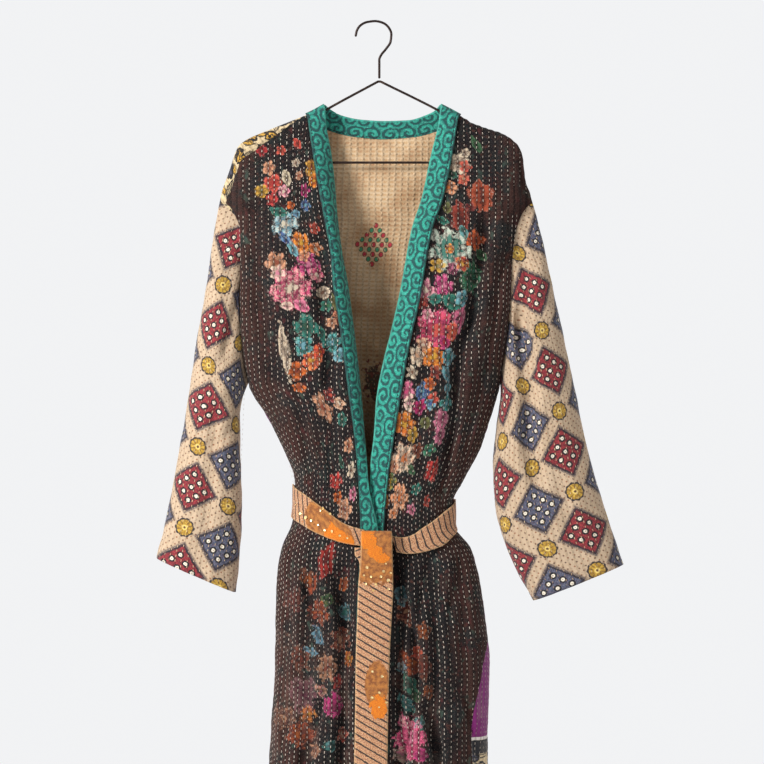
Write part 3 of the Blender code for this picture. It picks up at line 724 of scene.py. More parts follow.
back_across = spaced(-1, 1, 141)
back_down = spaced(0, 1, 80) + spaced(1, 2, 175)[1:]
back = Cloth([[back_point(s, v) for s in back_across] for v in back_down], (0, 1, 0))
half = len(back_across) // 2
levels = -back.points[:, half, 2]
right_half = lying_flat(back.points[:, half:], levels, HALF_BACK_FULL, BACK_DRAWN_IN)
left_half = lying_flat(back.points[:, half::-1], levels, HALF_BACK_FULL, BACK_DRAWN_IN)
back.measure(np.concatenate([-left_half[:, :0:-1], right_half], axis=1), down_from_the_top(back.points))
BACK_CREASES = [
    (-150, 300, -110, 470, 16, -3.0, 1), (140, 310, 105, 480, 15, -3.0, 1), (-60, 560, -36, 690, 9, 2.6, 1),
    (-16, 590, -6, 694, 8, 2.2, 1), (30, 570, 24, 694, 9, -2.4, 1), (74, 600, 58, 694, 8, 2.2, 1),
    (-96, 600, -72, 690, 8, -2.2, 1), (110, 600, 86, 690, 8, -2.0, 1), (-90, 770, -104, 860, 9, 2.6, 1),
    (-30, 770, -34, 880, 9, -2.4, 1), (16, 775, 14, 850, 8, 2.4, 1), (70, 770, 76, 880, 9, -2.2, 1),
    (112, 775, 128, 860, 8, 2.2, 1), (-140, 900, -150, 1180, 12, -3.0, 1), (-88, 950, -94, 1300, 11, 2.4, 1),
    (0, 980, 8, 1280, 13, 2.6, 1), (132, 900, 142, 1240, 12, -2.8, 1),
]
back.crease(BACK_CREASES)
quilt(back, 11)


def weave(finish, across, down, thread=0.55):
    """The height of a plain weave with threads of uneven thickness; sizes in millimetres."""
    over = finish.at(across * 0.35, down * 2.2)
    under = finish.at(across * 2.2, down * 0.35, 7.0)
    slub = finish.noise(over, 1.0, 2.0) + finish.noise(under, 1.0, 2.0)
    rate = 2 * math.pi / thread / 2
    threads = (across * rate).math("SINE") * (down * rate).math("SINE")
    return slub * 0.8 + threads * 0.25


def quilting(across, down):
    """Where the hollows of its running stitches lie, as a mask for the painted shade that darkens them, and
    the height of its puckers.
    """
    line = (across / STITCH_ROWS + 0.5).math("FRACT") - 0.5
    hollow = abs(line).rise(0.30, 0.0)
    step = (down / STITCH_PITCH).math("FRACT") - 0.5
    pucker = abs(step).rise(0.05, 0.5) * hollow
    return hollow, pucker


def millimetres(finish):
    across, down = finish.place("cloth")
    return across * 1000, down * 1000


def leaf_cells(finish, across, down, size, turn_seed):
    """A leaf in each cell of a shifted grid, turned by chance: its inside, its veins and outline, and a
    number by chance for the cell."""
    row = (down / size).math("FLOOR")
    shifted = across / size + row * 0.5
    column = shifted.math("FLOOR")
    cell = finish.at(column, row, turn_seed)
    chance = finish.node("TexWhiteNoise", {"noise_dimensions": "3D"}, {"Vector": cell})
    x = (shifted - column - 0.5) * 2
    y = ((down / size) - row - 0.5) * 2
    turn = chance * 6.283
    sine, cosine = turn.math("SINE"), turn.math("COSINE")
    long = (x * cosine + y * sine) / 0.98
    wide = (y * cosine - x * sine) / 0.98
    edge = (1 - long * long) * 0.44 - abs(wide)
    inside = edge.rise(0.0, 0.04)
    outline = abs(edge).rise(0.15, 0.08)
    rib = abs(wide).rise(0.09, 0.05) * inside
    vein = (abs(wide) * 8 + long * 9).math("SINE").rise(0.55, 0.8) * inside
    return inside, outline.math("MAXIMUM", rib), vein, chance


quilted_leaves = Finish("leaf_print_on_cream", 0.92, sheen=0.08)
across, down = millimetres(quilted_leaves)
hollow, pucker = quilting(across, down)
wander = quilted_leaves.noise(quilted_leaves.at(across * 0.06, down * 0.06), 1.0, 3.0) - 0.5
along_print, up_print = across * 0.82 + down * 0.57 + wander * 26, down * 0.82 - across * 0.57 - wander * 22
inside, outline, vein, chance = leaf_cells(quilted_leaves, along_print, up_print, 31.0, 3.0)
inside2, outline2, _, chance2 = leaf_cells(quilted_leaves, up_print + 11, along_print + 8, 21.0, 5.0)
cream = quilted_leaves.mix(quilted_leaves.noise(quilted_leaves.at(across * 0.3, down * 0.3), 1.0, 3.0),
                           rgb(226, 205, 165), rgb(196, 170, 128))
yellow, navy, black = rgb(206, 158, 62), rgb(38, 44, 72), rgb(28, 24, 26)
print_colour = quilted_leaves.mix(inside2 * chance2.rise(0.55, 0.6), cream, yellow)
print_colour = quilted_leaves.mix(outline2 * 0.85, print_colour, black)
cream_or_navy = quilted_leaves.mix(chance.rise(0.5, 0.55), cream, navy)
print_colour = quilted_leaves.coated(
    print_colour,
    (inside * 0.94, cream_or_navy),
    (inside * chance.rise(0.3, 0.26), yellow),
    ((outline + vein * 0.8).math("MINIMUM", 1.0), black),
)
PURPLE_TOP, PURPLE_END, BLACK_END = 566.0, 1048.0, 1070.0
wave = wander * 5
purple = quilted_leaves.mix(quilted_leaves.noise(quilted_leaves.at(across * 0.12, down * 0.05), 1.0, 3.0),
                            rgb(98, 14, 82), rgb(142, 28, 120))
lower = (down + wave).rise(PURPLE_TOP, PURPLE_TOP + 2) * (down + wave).rise(PURPLE_END + 1, PURPLE_END)
colour = quilted_leaves.mix(lower, print_colour, purple)
band_edge = abs(down - PURPLE_TOP).rise(2.6, 1.6).math("MAXIMUM", abs(down - PURPLE_END).rise(2.6, 1.8))
colour = quilted_leaves.mix(band_edge, colour, rgb(222, 214, 205))
dark_band = down.rise(PURPLE_END + 2, PURPLE_END + 3) * down.rise(BLACK_END + 1, BLACK_END)
colour = quilted_leaves.mix(dark_band, colour, rgb(24, 22, 28))
threads = weave(quilted_leaves, across, down)
worn = quilted_leaves.noise(quilted_leaves.at(across * 0.02, down * 0.02, 4.0), 1.0, 4.0)
# Painted shade in the hollows of the stitch lines and between the threads, and a slight painted highlight on
# the rest.
shade = quilted_leaves.mix(hollow * 0.5 + threads * 0.16, (1.04, 1.04, 1.04), (0.5, 0.47, 0.44))
colour = quilted_leaves.blended(colour, shade)
colour = quilted_leaves.mix(worn.rise(0.55, 0.75) * 0.16, colour, rgb(205, 190, 165))
leaf_print = quilted_leaves.paint(colour, None, threads * 0.45 + pucker * 1.6, 0.0006)


def tan_lining(name, with_diamond):
    """The tan checked cotton inside the coat; on the back it has a small diamond of ringed dots."""
    lining = Finish(name, 0.93, sheen=0.08)
    across, down = millimetres(lining)
    hollow, pucker = quilting(across, down)
    blotch = lining.noise(lining.at(across, down), 0.022, 4.0)
    tan = lining.mix(blotch.rise(0.35, 0.7), rgb(216, 188, 152), rgb(184, 150, 112))
    column = (across / STITCH_ROWS).math("FRACT") - 0.5
    row = (down / 6.4).math("FRACT") - 0.5
    jitter = lining.noise(lining.at(across, down), 0.4, 2.0)
    across_check = abs(column + (jitter - 0.5) * 0.4).rise(0.46, 0.16)
    down_check = abs(row + (jitter - 0.5) * 0.5).rise(0.42, 0.1)
    check = across_check * down_check * jitter.rise(0.25, 0.6)
    tan = lining.mix(check * 0.6, tan, lining.mix(blotch.rise(0.4, 0.6), rgb(186, 132, 72), rgb(158, 96, 44)))
    # Painted shade in the hollows of the stitch lines.
    tan = lining.mix(hollow * jitter.rise(0.3, 0.7) * 0.5, tan, rgb(132, 100, 72))
    # Painted shade, in patches, on the lining lower down inside the coat.
    lower_inside_shade = down.rise(480, 700)
    tan = lining.mix(lower_inside_shade * blotch.rise(0.3, 0.6) * 0.7, tan, rgb(84, 66, 56))
    if with_diamond:
        i, j = lining.place("diamond")
        cell_i, cell_j = (i + 0.5).math("FLOOR"), (j + 0.5).math("FLOOR")
        near = ((i - cell_i) * (i - cell_i) + (j - cell_j) * (j - cell_j)).math("SQRT")
        here = abs(cell_i).math("MAXIMUM", abs(cell_j)).rise(2.6, 2.4)
        odd = abs((cell_i + cell_j) % 2.0 - 1.0).rise(0.6, 0.4)
        tan = lining.mix(near.rise(0.43, 0.38) * here, tan, rgb(92, 62, 48))
        red_or_green = lining.mix(odd, rgb(180, 50, 62), rgb(62, 130, 92))
        tan = lining.mix(near.rise(0.32, 0.27) * here, tan, red_or_green)
        x, y = (across - dark_spot[0]) / 15, (down - dark_spot[1]) / 30
        torn = lining.noise(lining.at(across, down), 0.15, 3.0)
        spot = ((x * x + y * y).math("SQRT") + (torn - 0.5) * 3).rise(1.1, 0.7)
        dark = lining.mix(torn.rise(0.35, 0.5), rgb(112, 36, 40), rgb(44, 34, 36))
        tan = lining.mix(spot * 0.85, tan, dark)
    threads = weave(lining, across, down)
    # Painted shade between the threads of the weave, and a slight painted highlight on them.
    tan = lining.blended(tan, lining.mix(threads * 0.3, (1.05, 1.05, 1.05), (0.62, 0.6, 0.58)))
    return lining.paint(tan, None, threads * 0.5 + pucker * 2.2 - check * 0.3, 0.0006)


DARK_SPOT_SEEN = (374, 384)     # where the photograph shows its middle, in pixels
dark_spot = back.seen_at(*DARK_SPOT_SEEN, inside=True)
back_lining, checked_lining = tan_lining("tan_lining_of_back", True), tan_lining("tan_checked_lining", False)


STITCH_LENGTHS = (2.8, 3.9)     # the shortest and the longest stitch
STITCH_HALF_WIDTH = 0.55
STITCH_RISE = 0.34
STITCH_STRAY = 0.7              # how far a stitch may start off its place
SEAM_ROOM = 6                   # left without stitches at the end of a line


def running_stitches(cloth, name, thread, inside=False, lowest=None, seed=1):
    """Hand-sewn running stitches down every quilting line of a cloth, each a small rounded bar."""
    dice = np.random.default_rng(seed)
    ways = cloth.closed_up(cloth.normals()) * (-1 if inside else 1)
    spots = cloth.closed_up(cloth.points) + (ways * CLOTH if inside else 0)
    across, down = cloth.across, cloth.down
    columns = np.arange(across.shape[1])
    first, last = math.ceil(across.min() / STITCH_ROWS), math.floor(across.max() / STITCH_ROWS)
    verts, faces = [], []
    for line in range(first, last + 1):
        at, rows = [], []
        for i in range(across.shape[0]):
            order = slice(None) if across[i, -1] > across[i, 0] else slice(None, None, -1)
            low, high = across[i, order][0], across[i, order][-1]
            if low + 1.5 < line * STITCH_ROWS < high - 1.5:
                at.append(np.interp(line * STITCH_ROWS, across[i, order], columns[order]))
                rows.append(i)
        if len(rows) < 4:
            continue
        at, rows = np.array(at), np.array(rows)
        j = np.minimum(at.astype(int), across.shape[1] - 2)
        part = (at - j)[:, None]
        path = spots[rows, j] * (1 - part) + spots[rows, j + 1] * part
        out = ways[rows, j] * (1 - part) + ways[rows, j + 1] * part
        length = down[rows, j]
        starts = np.arange(length[0] + 3, min(length[-1], lowest or 1e9) - SEAM_ROOM, STITCH_PITCH)
        starts = starts + dice.uniform(-STITCH_STRAY, STITCH_STRAY, len(starts)) + line % 2 * STITCH_PITCH / 2
        starts = starts[starts < length[-1] - SEAM_ROOM]
        ends = starts + dice.uniform(*STITCH_LENGTHS, len(starts))

        def on_path(values, where):
            return np.stack([np.interp(where, length, values[:, k]) for k in range(3)], axis=1)

        a, b, normal = on_path(path, starts), on_path(path, ends), on_path(out, (starts + ends) / 2)
        side = np.cross(normal, b - a)
        side *= STITCH_HALF_WIDTH / np.maximum(np.linalg.norm(side, axis=1, keepdims=True), 1e-9)
        top_a, top_b = (a + (b - a) * share + normal * STITCH_RISE for share in (0.22, 0.78))
        six = np.stack([a + side, b + side, b - side, a - side, top_a, top_b], axis=1) - normal[:, None] * 0.1
        start = len(verts) * 6
        verts += list(six)
        for k in range(len(starts)):
            n = start + k * 6
            faces += [(n, n + 4, n + 5, n + 1), (n + 2, n + 5, n + 4, n + 3)]
            faces += [(n + 3, n + 4, n), (n + 1, n + 5, n + 2)]
    made = piece(name, np.array(verts).reshape(-1, 3), faces, [thread])


def thread_finish(name, light, dark):
    twist = Finish(name, 0.8, sheen=0.2)
    where = twist.on_object()
    patchy = twist.noise(where, 9.0, 3.0).rise(0.35, 0.65)
    small = twist.noise(where, 260.0, 2.0).rise(0.35, 0.65)
    return twist.paint(twist.mix(patchy * 0.6 + small * 0.3, rgb(*light), rgb(*dark)), None, small, 0.0002)


back_thing = back.put_together("quilted_back", CLOTH, [leaf_print, back_lining])
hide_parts("back")

DIAMOND_SEEN = (372, 244)       # where the photograph shows its middle, in pixels
diamond_at = back.seen_at(*DIAMOND_SEEN, inside=True)
# Between neighbours, across and down, in the diamond of dots.
DOTS_APART = (8.2 * PHOTO_POINT, 9.75 * PHOTO_POINT)
du = (back.at_corners(back.across) - diamond_at[0]) / DOTS_APART[0]
dv = (back.at_corners(back.down) - diamond_at[1]) / DOTS_APART[1]
back.map("diamond", np.stack([du + dv, du - dv], axis=-1))
cream_thread = thread_finish("cream_cotton_thread", (212, 200, 184), (150, 132, 118))
tan_thread = thread_finish("tan_cotton_thread", (214, 186, 148), (150, 112, 72))
running_stitches(back, "running_stitches_back", cream_thread, seed=3)
running_stitches(back, "running_stitches_back_inside", tan_thread, inside=True, lowest=800, seed=4)


# The two fronts: dark quilted cotton printed with scattered flowers, cut straight, with the slanting neck
# edge cut away. A strip of the back's pale print comes forward over the left shoulder.
BEHIND = 50.0          # degrees behind the ridge where the fronts meet the back
UNDER = 8.0            # how far the right front lies under the left one
STRIP_NECK = 1.2       # how far the left shoulder's strip reaches down in front, at the neck
STRIP_REACH = 23.2     # and over the arm
EVEN_ROWS = 1.6        # from this row number on, the fronts' rows are the same across

# Where each front is sewn to the neck band.
FRONT_EDGE = {
    -1: [(136, -101), (178, -95), (226, -87), (282, -76), (345, -64), (382, -61), (464, -49), (555, -37),
         (605, -30), (670, -24), (746, -21), (850, -25), (1000, -27), (1341, -26)],
    1: [(137, 124), (204, 113), (261, 99.5), (305, 83), (415, 63), (477, 49), (555, 35.6), (606, 27.5),
        (655, 20), (702, 15), (750, 12), (850, 12), (1000, 13), (1341, 15)],
}

# Folds that run down the cloth: place at four heights, half width, depth (a valley is positive).
FOLDS_FRONT = {
    -1: [
        # low and x, four times, then half width, depth
        ((320, -80), (450, -70), (580, -62), (690, -60), 15, 6),
        ((250, -176), (350, -172), (450, -160), (560, -140), 24, 7),
        ((560, -110), (610, -102), (650, -96), (700, -92), 13, 5),
        ((760, -44), (880, -44), (1050, -46), (1341, -48), 19, 16),
        ((770, -92), (880, -96), (1050, -100), (1341, -106), 20, 9),
        ((770, -122), (850, -126), (1000, -130), (1341, -138), 13, 5),
    ],
    1: [
        ((290, 166), (373, 148), (555, 117), (700, 96), 17, 12),
        ((330, 190), (430, 172), (560, 146), (690, 112), 12, 5),
        ((240, 104), (330, 96), (450, 80), (560, 72), 20, 5),
        ((762, 36), (880, 34), (1050, 32), (1341, 32), 15, 10),
        ((758, 88), (880, 88), (1050, 86), (1341, 84), 18, 14),
        ((790, 124), (880, 128), (1050, 130), (1341, 134), 16, 7),
    ],
}


def angle_for(x, low):
    left, right = sides(low)
    share = (2 * x - left - right) / (right - left)
    share = min(max(share, -1.0), 1.0)
    return math.degrees(math.asin(round_part(share, SQUARENESS / 2)))


def front_angle(side, u, low):
    start = side * angle_for(read(FRONT_EDGE[side], low), max(low, ARM_TOP))
    return side * min(start + (90 - start) * u, 89.999)


def front_point(side, u, w):
    """A front, its ridge too: w runs from 0 behind the ridge to 1 in front of it, 2 at the underarm
    and 3 at the hem, and u from the neck band to the side."""
    if w <= 1:
        return shoulder(side, u, -BEHIND + (90 + BEHIND) * w)
    top = shoulder(side, u, 90)
    low = low_at(-top[2], w - 1)
    angle = front_angle(side, u, low)
    x, y, z = hang(top, front_angle(side, u, -top[2]), angle, w - 1)
    inner = 1 - smooth((u - 0.84) / 0.16)
    y += fold_depth(FOLDS_FRONT[side], x, low, angle) * inner * smooth((w - 1) * 3)
    if side > 0:
        y += UNDER * smooth((low - 590) / 90) * (1 - smooth((abs(x) - 22) / 46))
    return x, y, z


def strip_end(u, room):
    """The row number w of the line where the strip over the left shoulder meets the left front."""
    reach = STRIP_NECK + (STRIP_REACH - STRIP_NECK) * smooth(u / 0.5) + room
    if reach < RIDGE:
        return (BEHIND + math.degrees(math.acos(1 - reach / RIDGE))) / (90 + BEHIND)
    return 1 + (reach - RIDGE) / (UNDERARM + shoulder(-1, u, 90)[2])


def front_grid(side, columns, rows):
    grid = []
    for row in rows:
        line = []
        for u in spaced(0, 1, columns):
            start = 0.0 if side > 0 else strip_end(u, -LAP)
            w = row if row >= EVEN_ROWS else start + row / EVEN_ROWS * (EVEN_ROWS - start)
            line.append(front_point(side, u, w))
        if side > 0 and -line[-1][2] > SEAM_TURNS[0][0]:
            line = seam_in_line(line, row)
        grid.append(line)
    return grid


def seam_in_line(line, row):
    """The same row of points, moved along the cloth so that one column of them runs down the side seam."""
    seam_x = read(SEAM_TURNS, -line[-1][2])
    shares = spaced(0, 1, len(line))
    crossing = next((n for n in range(50, len(line)) if line[n][0] > seam_x), len(line) - 2)
    left, right = line[crossing - 1][0], line[crossing][0]
    part = min(max((seam_x - left) / max(right - left, 0.01), 0.0), 1.0)
    seam = min((crossing - 1 + part) / (len(line) - 1), 0.985)
    start = SEAM_COLUMN / (len(line) - 1)
    ease = smooth((-line[-1][2] - SEAM_TURNS[0][0]) / 40)
    moved = []
    for share in shares:
        u = share / start * seam if share <= start else seam + (share - start) / (1 - start) * (1 - seam)
        moved.append(front_point(1, share + (u - share) * ease, row))
    return moved


LAP = 0.8                # how far a seam's upper piece lies over the lower one
FRONT_FULL = 215.0       # width of a front's cloth at the hem
FRONT_DRAWN_IN = (440, 720)     # where it starts and ends to be gathered
FRONT_PLUMB = 150        # how far from the middle the chest's stitch lines are true to plumb
FRONT_COLUMNS = 81
STRIP_ROWS = 12
SEAM_COLUMN = 72         # the column of the right front's grid that runs down its side seam, where it shows
TURNED_FROM = 890        # how far down the cloth the back's print begins beside that seam
# Where the right side seam turns forward, so that the back's print shows beside it: level and x.
SEAM_TURNS = [(846, 176), (886, 169), (960, 154), (1047, 137), (1110, 132), (1341, 134)]
# Creases of each front: x and low at both ends, half width, height and face, as Cloth.crease takes them.
FRONT_CREASES = {
    -1: [
        (-78, 310, -70, 480, 10, -4.0, -1), (-70, 480, -60, 690, 9, -4.0, -1),
        (-100, 330, -90, 500, 10, 3.0, -1), (-96, 190, -120, 300, 9, 2.2, -1),
        (-150, 200, -160, 330, 12, -3.0, -1), (-120, 430, -92, 560, 9, -2.6, -1),
        (-140, 480, -112, 640, 8, 2.4, -1), (-74, 560, -62, 705, 7, 2.6, -1),
        (-90, 600, -78, 700, 6, -2.2, -1), (-42, 790, -42, 1180, 9, -9.0, -1),
        (-92, 790, -98, 1120, 7, -6.0, -1), (-66, 800, -70, 1200, 9, 3.0, -1),
        (-124, 800, -132, 1060, 6, -3.0, -1), (-46, 600, -44, 720, 6, -2.0, -1),
        (-36, 640, -34, 730, 5, 2.0, -1), (-70, 780, -72, 860, 7, 2.4, -1),
        (-104, 772, -112, 850, 7, 2.0, -1), (-34, 800, -30, 930, 8, 2.4, -1),
        (-120, 900, -126, 1180, 11, 2.6, -1), (-76, 960, -80, 1240, 10, -2.4, -1),
    ],
    1: [
        (165, 270, 148, 380, 9, -5.0, -1), (149, 370, 117, 560, 9, -6.0, -1),
        (117, 550, 98, 700, 8, -5.0, -1), (180, 290, 160, 410, 9, 4.0, -1), (160, 400, 132, 570, 9, 4.5, -1),
        (132, 560, 112, 695, 8, 3.5, -1), (120, 200, 150, 330, 10, -2.2, -1),
        (176, 240, 160, 380, 10, 3.0, -1), (96, 380, 80, 520, 10, 2.6, -1), (140, 430, 104, 600, 8, 2.8, -1),
        (76, 560, 66, 720, 7, -2.4, -1), (44, 600, 42, 730, 6, 2.2, -1), (88, 770, 86, 1220, 9, -9.0, -1),
        (34, 775, 32, 1200, 7, -11.0, -1), (126, 800, 132, 1150, 7, -5.5, -1),
        (108, 790, 110, 1120, 8, 3.0, -1), (60, 620, 54, 735, 5, -1.8, -1), (100, 640, 86, 722, 6, 2.2, -1),
        (50, 790, 52, 900, 8, 2.8, -1), (104, 780, 106, 880, 7, 2.4, -1), (70, 800, 66, 880, 6, -2.0, -1),
        (60, 940, 56, 1260, 12, 2.6, -1), (112, 950, 116, 1300, 11, 2.4, -1),
        (20, 900, 22, 1180, 8, 2.0, -1),
    ],
}
fronts = {}
for side in (-1, 1):
    rows = spaced(0, EVEN_ROWS, 66) + spaced(EVEN_ROWS, 3, 200)[1:]
    front = Cloth(front_grid(side, FRONT_COLUMNS, rows), (0, -1, 0))
    levels = -front.points[:, -1, 2]
    from_side = lying_flat(front.points[:, ::-1], levels, FRONT_FULL, FRONT_DRAWN_IN, FRONT_PLUMB)[:, ::-1]
    front.measure(side * (FRONT_FULL - from_side), down_from_the_top(front.points))
    front.crease(FRONT_CREASES[side])
    quilt(front, 21 + side)
    if side > 0:
        below_seam = np.arange(FRONT_COLUMNS)[None, :] > SEAM_COLUMN
        front.raise_by(np.where(below_seam & (levels[:, None] > SEAM_TURNS[1][0]), -LAP, 0.0))
    fronts[side] = front

# The strip over the left shoulder.
strip = Cloth(
    [
        [front_point(-1, u, strip_end(u, 0) * part) for u in spaced(0, 1, FRONT_COLUMNS)]
        for part in spaced(0, 1, STRIP_ROWS)
    ],
    (-0.3, -0.4, 1),
)
strip.measure(lengths(strip.points, 1), lengths(strip.points, 0))

# The flowers and leaves of the print where the photograph shows them, in its own points: half length,
# half width, turn, how many petals (0 is a leaf), colour and heart.
RED, CORAL, ORANGE, GOLD = (176, 40, 44), (206, 84, 66), (214, 110, 40), (216, 166, 58)
PEACH, CREAM, PINK, ROSE = (214, 160, 122), (226, 212, 184), (222, 130, 158), (214, 74, 122)
MAGENTA, PLUM, BLUE, SKY = (178, 44, 112), (110, 44, 70), (62, 88, 150), (120, 176, 190)
TEAL, GREEN, LEAF = (34, 126, 112), (52, 104, 66), (40, 78, 58)
BROWN, RUST, WINE, OLIVE = (112, 66, 44), (142, 58, 40), (98, 34, 38), (112, 112, 60)
LARGE_FLOWERS = {
    -1: [
        (291, 287, 17, 17, 10, 5, ROSE, CREAM), (285, 224, 11, 10, 0, 5, SKY, CREAM),
        (302, 242, 10, 8, 30, 5, ORANGE, GOLD), (275, 262, 9, 9, 20, 5, PEACH, RUST),
        (309, 264, 10, 9, 0, 5, MAGENTA, PINK), (306, 327, 11, 9, 0, 4, TEAL, LEAF),
        (304, 346, 9, 8, 40, 4, TEAL, SKY), (311, 360, 9, 8, 10, 5, CORAL, GOLD),
        (296, 370, 9, 7, 0, 4, ORANGE, RUST), (285, 352, 23, 5, 78, 0, CREAM, BROWN),
        (333, 342, 9, 8, 0, 4, TEAL, SKY), (273, 183, 8, 8, 0, 5, CORAL, RED),
        (311, 166, 8, 8, 0, 5, GOLD, RUST), (323, 408, 11, 7, 70, 5, PEACH, RUST),
        (336, 483, 8, 7, 0, 5, RED, CORAL), (345, 508, 10, 9, 0, 5, PEACH, WINE),
        (325, 561, 15, 10, 110, 0, (196, 52, 38), RED), (314, 584, 9, 6, 120, 0, (200, 90, 44), RUST),
        (320, 610, 12, 9, 20, 5, RUST, ORANGE), (327, 668, 11, 10, 0, 6, PEACH, RUST),
        (303, 694, 17, 14, 0, 6, (128, 92, 96), PLUM), (300, 660, 12, 8, 40, 5, BROWN, RUST),
        (333, 707, 11, 10, 0, 5, MAGENTA, PLUM), (298, 735, 14, 10, 10, 5, RUST, ORANGE),
        (310, 580, 12, 7, 30, 5, BROWN, ORANGE), (292, 600, 14, 9, 0, 5, (84, 50, 42), RUST),
        (285, 640, 16, 9, 20, 0, (70, 58, 52), BROWN), (340, 640, 10, 9, 0, 5, RUST, PEACH),
        (284, 715, 15, 9, 10, 5, (100, 60, 48), PEACH),
    ],
    1: [
        (449, 247, 19, 18, 12, 7, (214, 222, 204), (34, 128, 112)), (437, 330, 17, 16, 0, 5, ROSE, CORAL),
        (481, 195, 14, 12, 80, 0, (172, 78, 46), RUST), (461, 215, 15, 9, 85, 0, (150, 58, 40), WINE),
        (469, 280, 10, 15, 20, 0, GREEN, TEAL), (474, 242, 9, 8, 0, 5, (206, 96, 44), RUST),
        (459, 163, 9, 8, 0, 5, CREAM, BROWN), (443, 286, 8, 8, 0, 5, MAGENTA, PINK),
        (426, 290, 8, 8, 0, 5, PINK, CREAM), (453, 303, 11, 7, 30, 0, TEAL, GREEN),
        (434, 357, 10, 9, 0, 5, ORANGE, GOLD), (460, 318, 7, 11, 0, 5, PINK, ROSE),
        (449, 356, 8, 7, 0, 4, SKY, TEAL), (406, 391, 7, 7, 0, 5, PINK, ROSE),
        (422, 393, 6, 7, 0, 4, BLUE, SKY), (404, 424, 10, 9, 0, 5, ORANGE, GOLD),
        (446, 404, 7, 6, 0, 4, TEAL, SKY), (403, 457, 11, 12, 0, 6, CREAM, ORANGE),
        (442, 418, 7, 8, 0, 5, PINK, PLUM), (440, 434, 6, 8, 0, 5, PINK, PLUM),
        (434, 470, 9, 9, 0, 5, RED, CORAL), (400, 499, 11, 11, 0, 6, PEACH, ORANGE),
        (390, 482, 8, 7, 0, 5, GREEN, GOLD), (408, 613, 7, 12, 0, 5, RUST, PEACH),
        (423, 634, 7, 7, 0, 5, BROWN, ORANGE), (412, 662, 13, 9, 20, 5, RUST, ORANGE),
        (409, 684, 10, 6, 60, 0, TEAL, GREEN), (406, 704, 11, 6, 40, 0, TEAL, SKY),
        (409, 738, 14, 17, 0, 6, ROSE, PINK), (425, 668, 8, 10, 0, 5, BROWN, RUST),
    ],
}
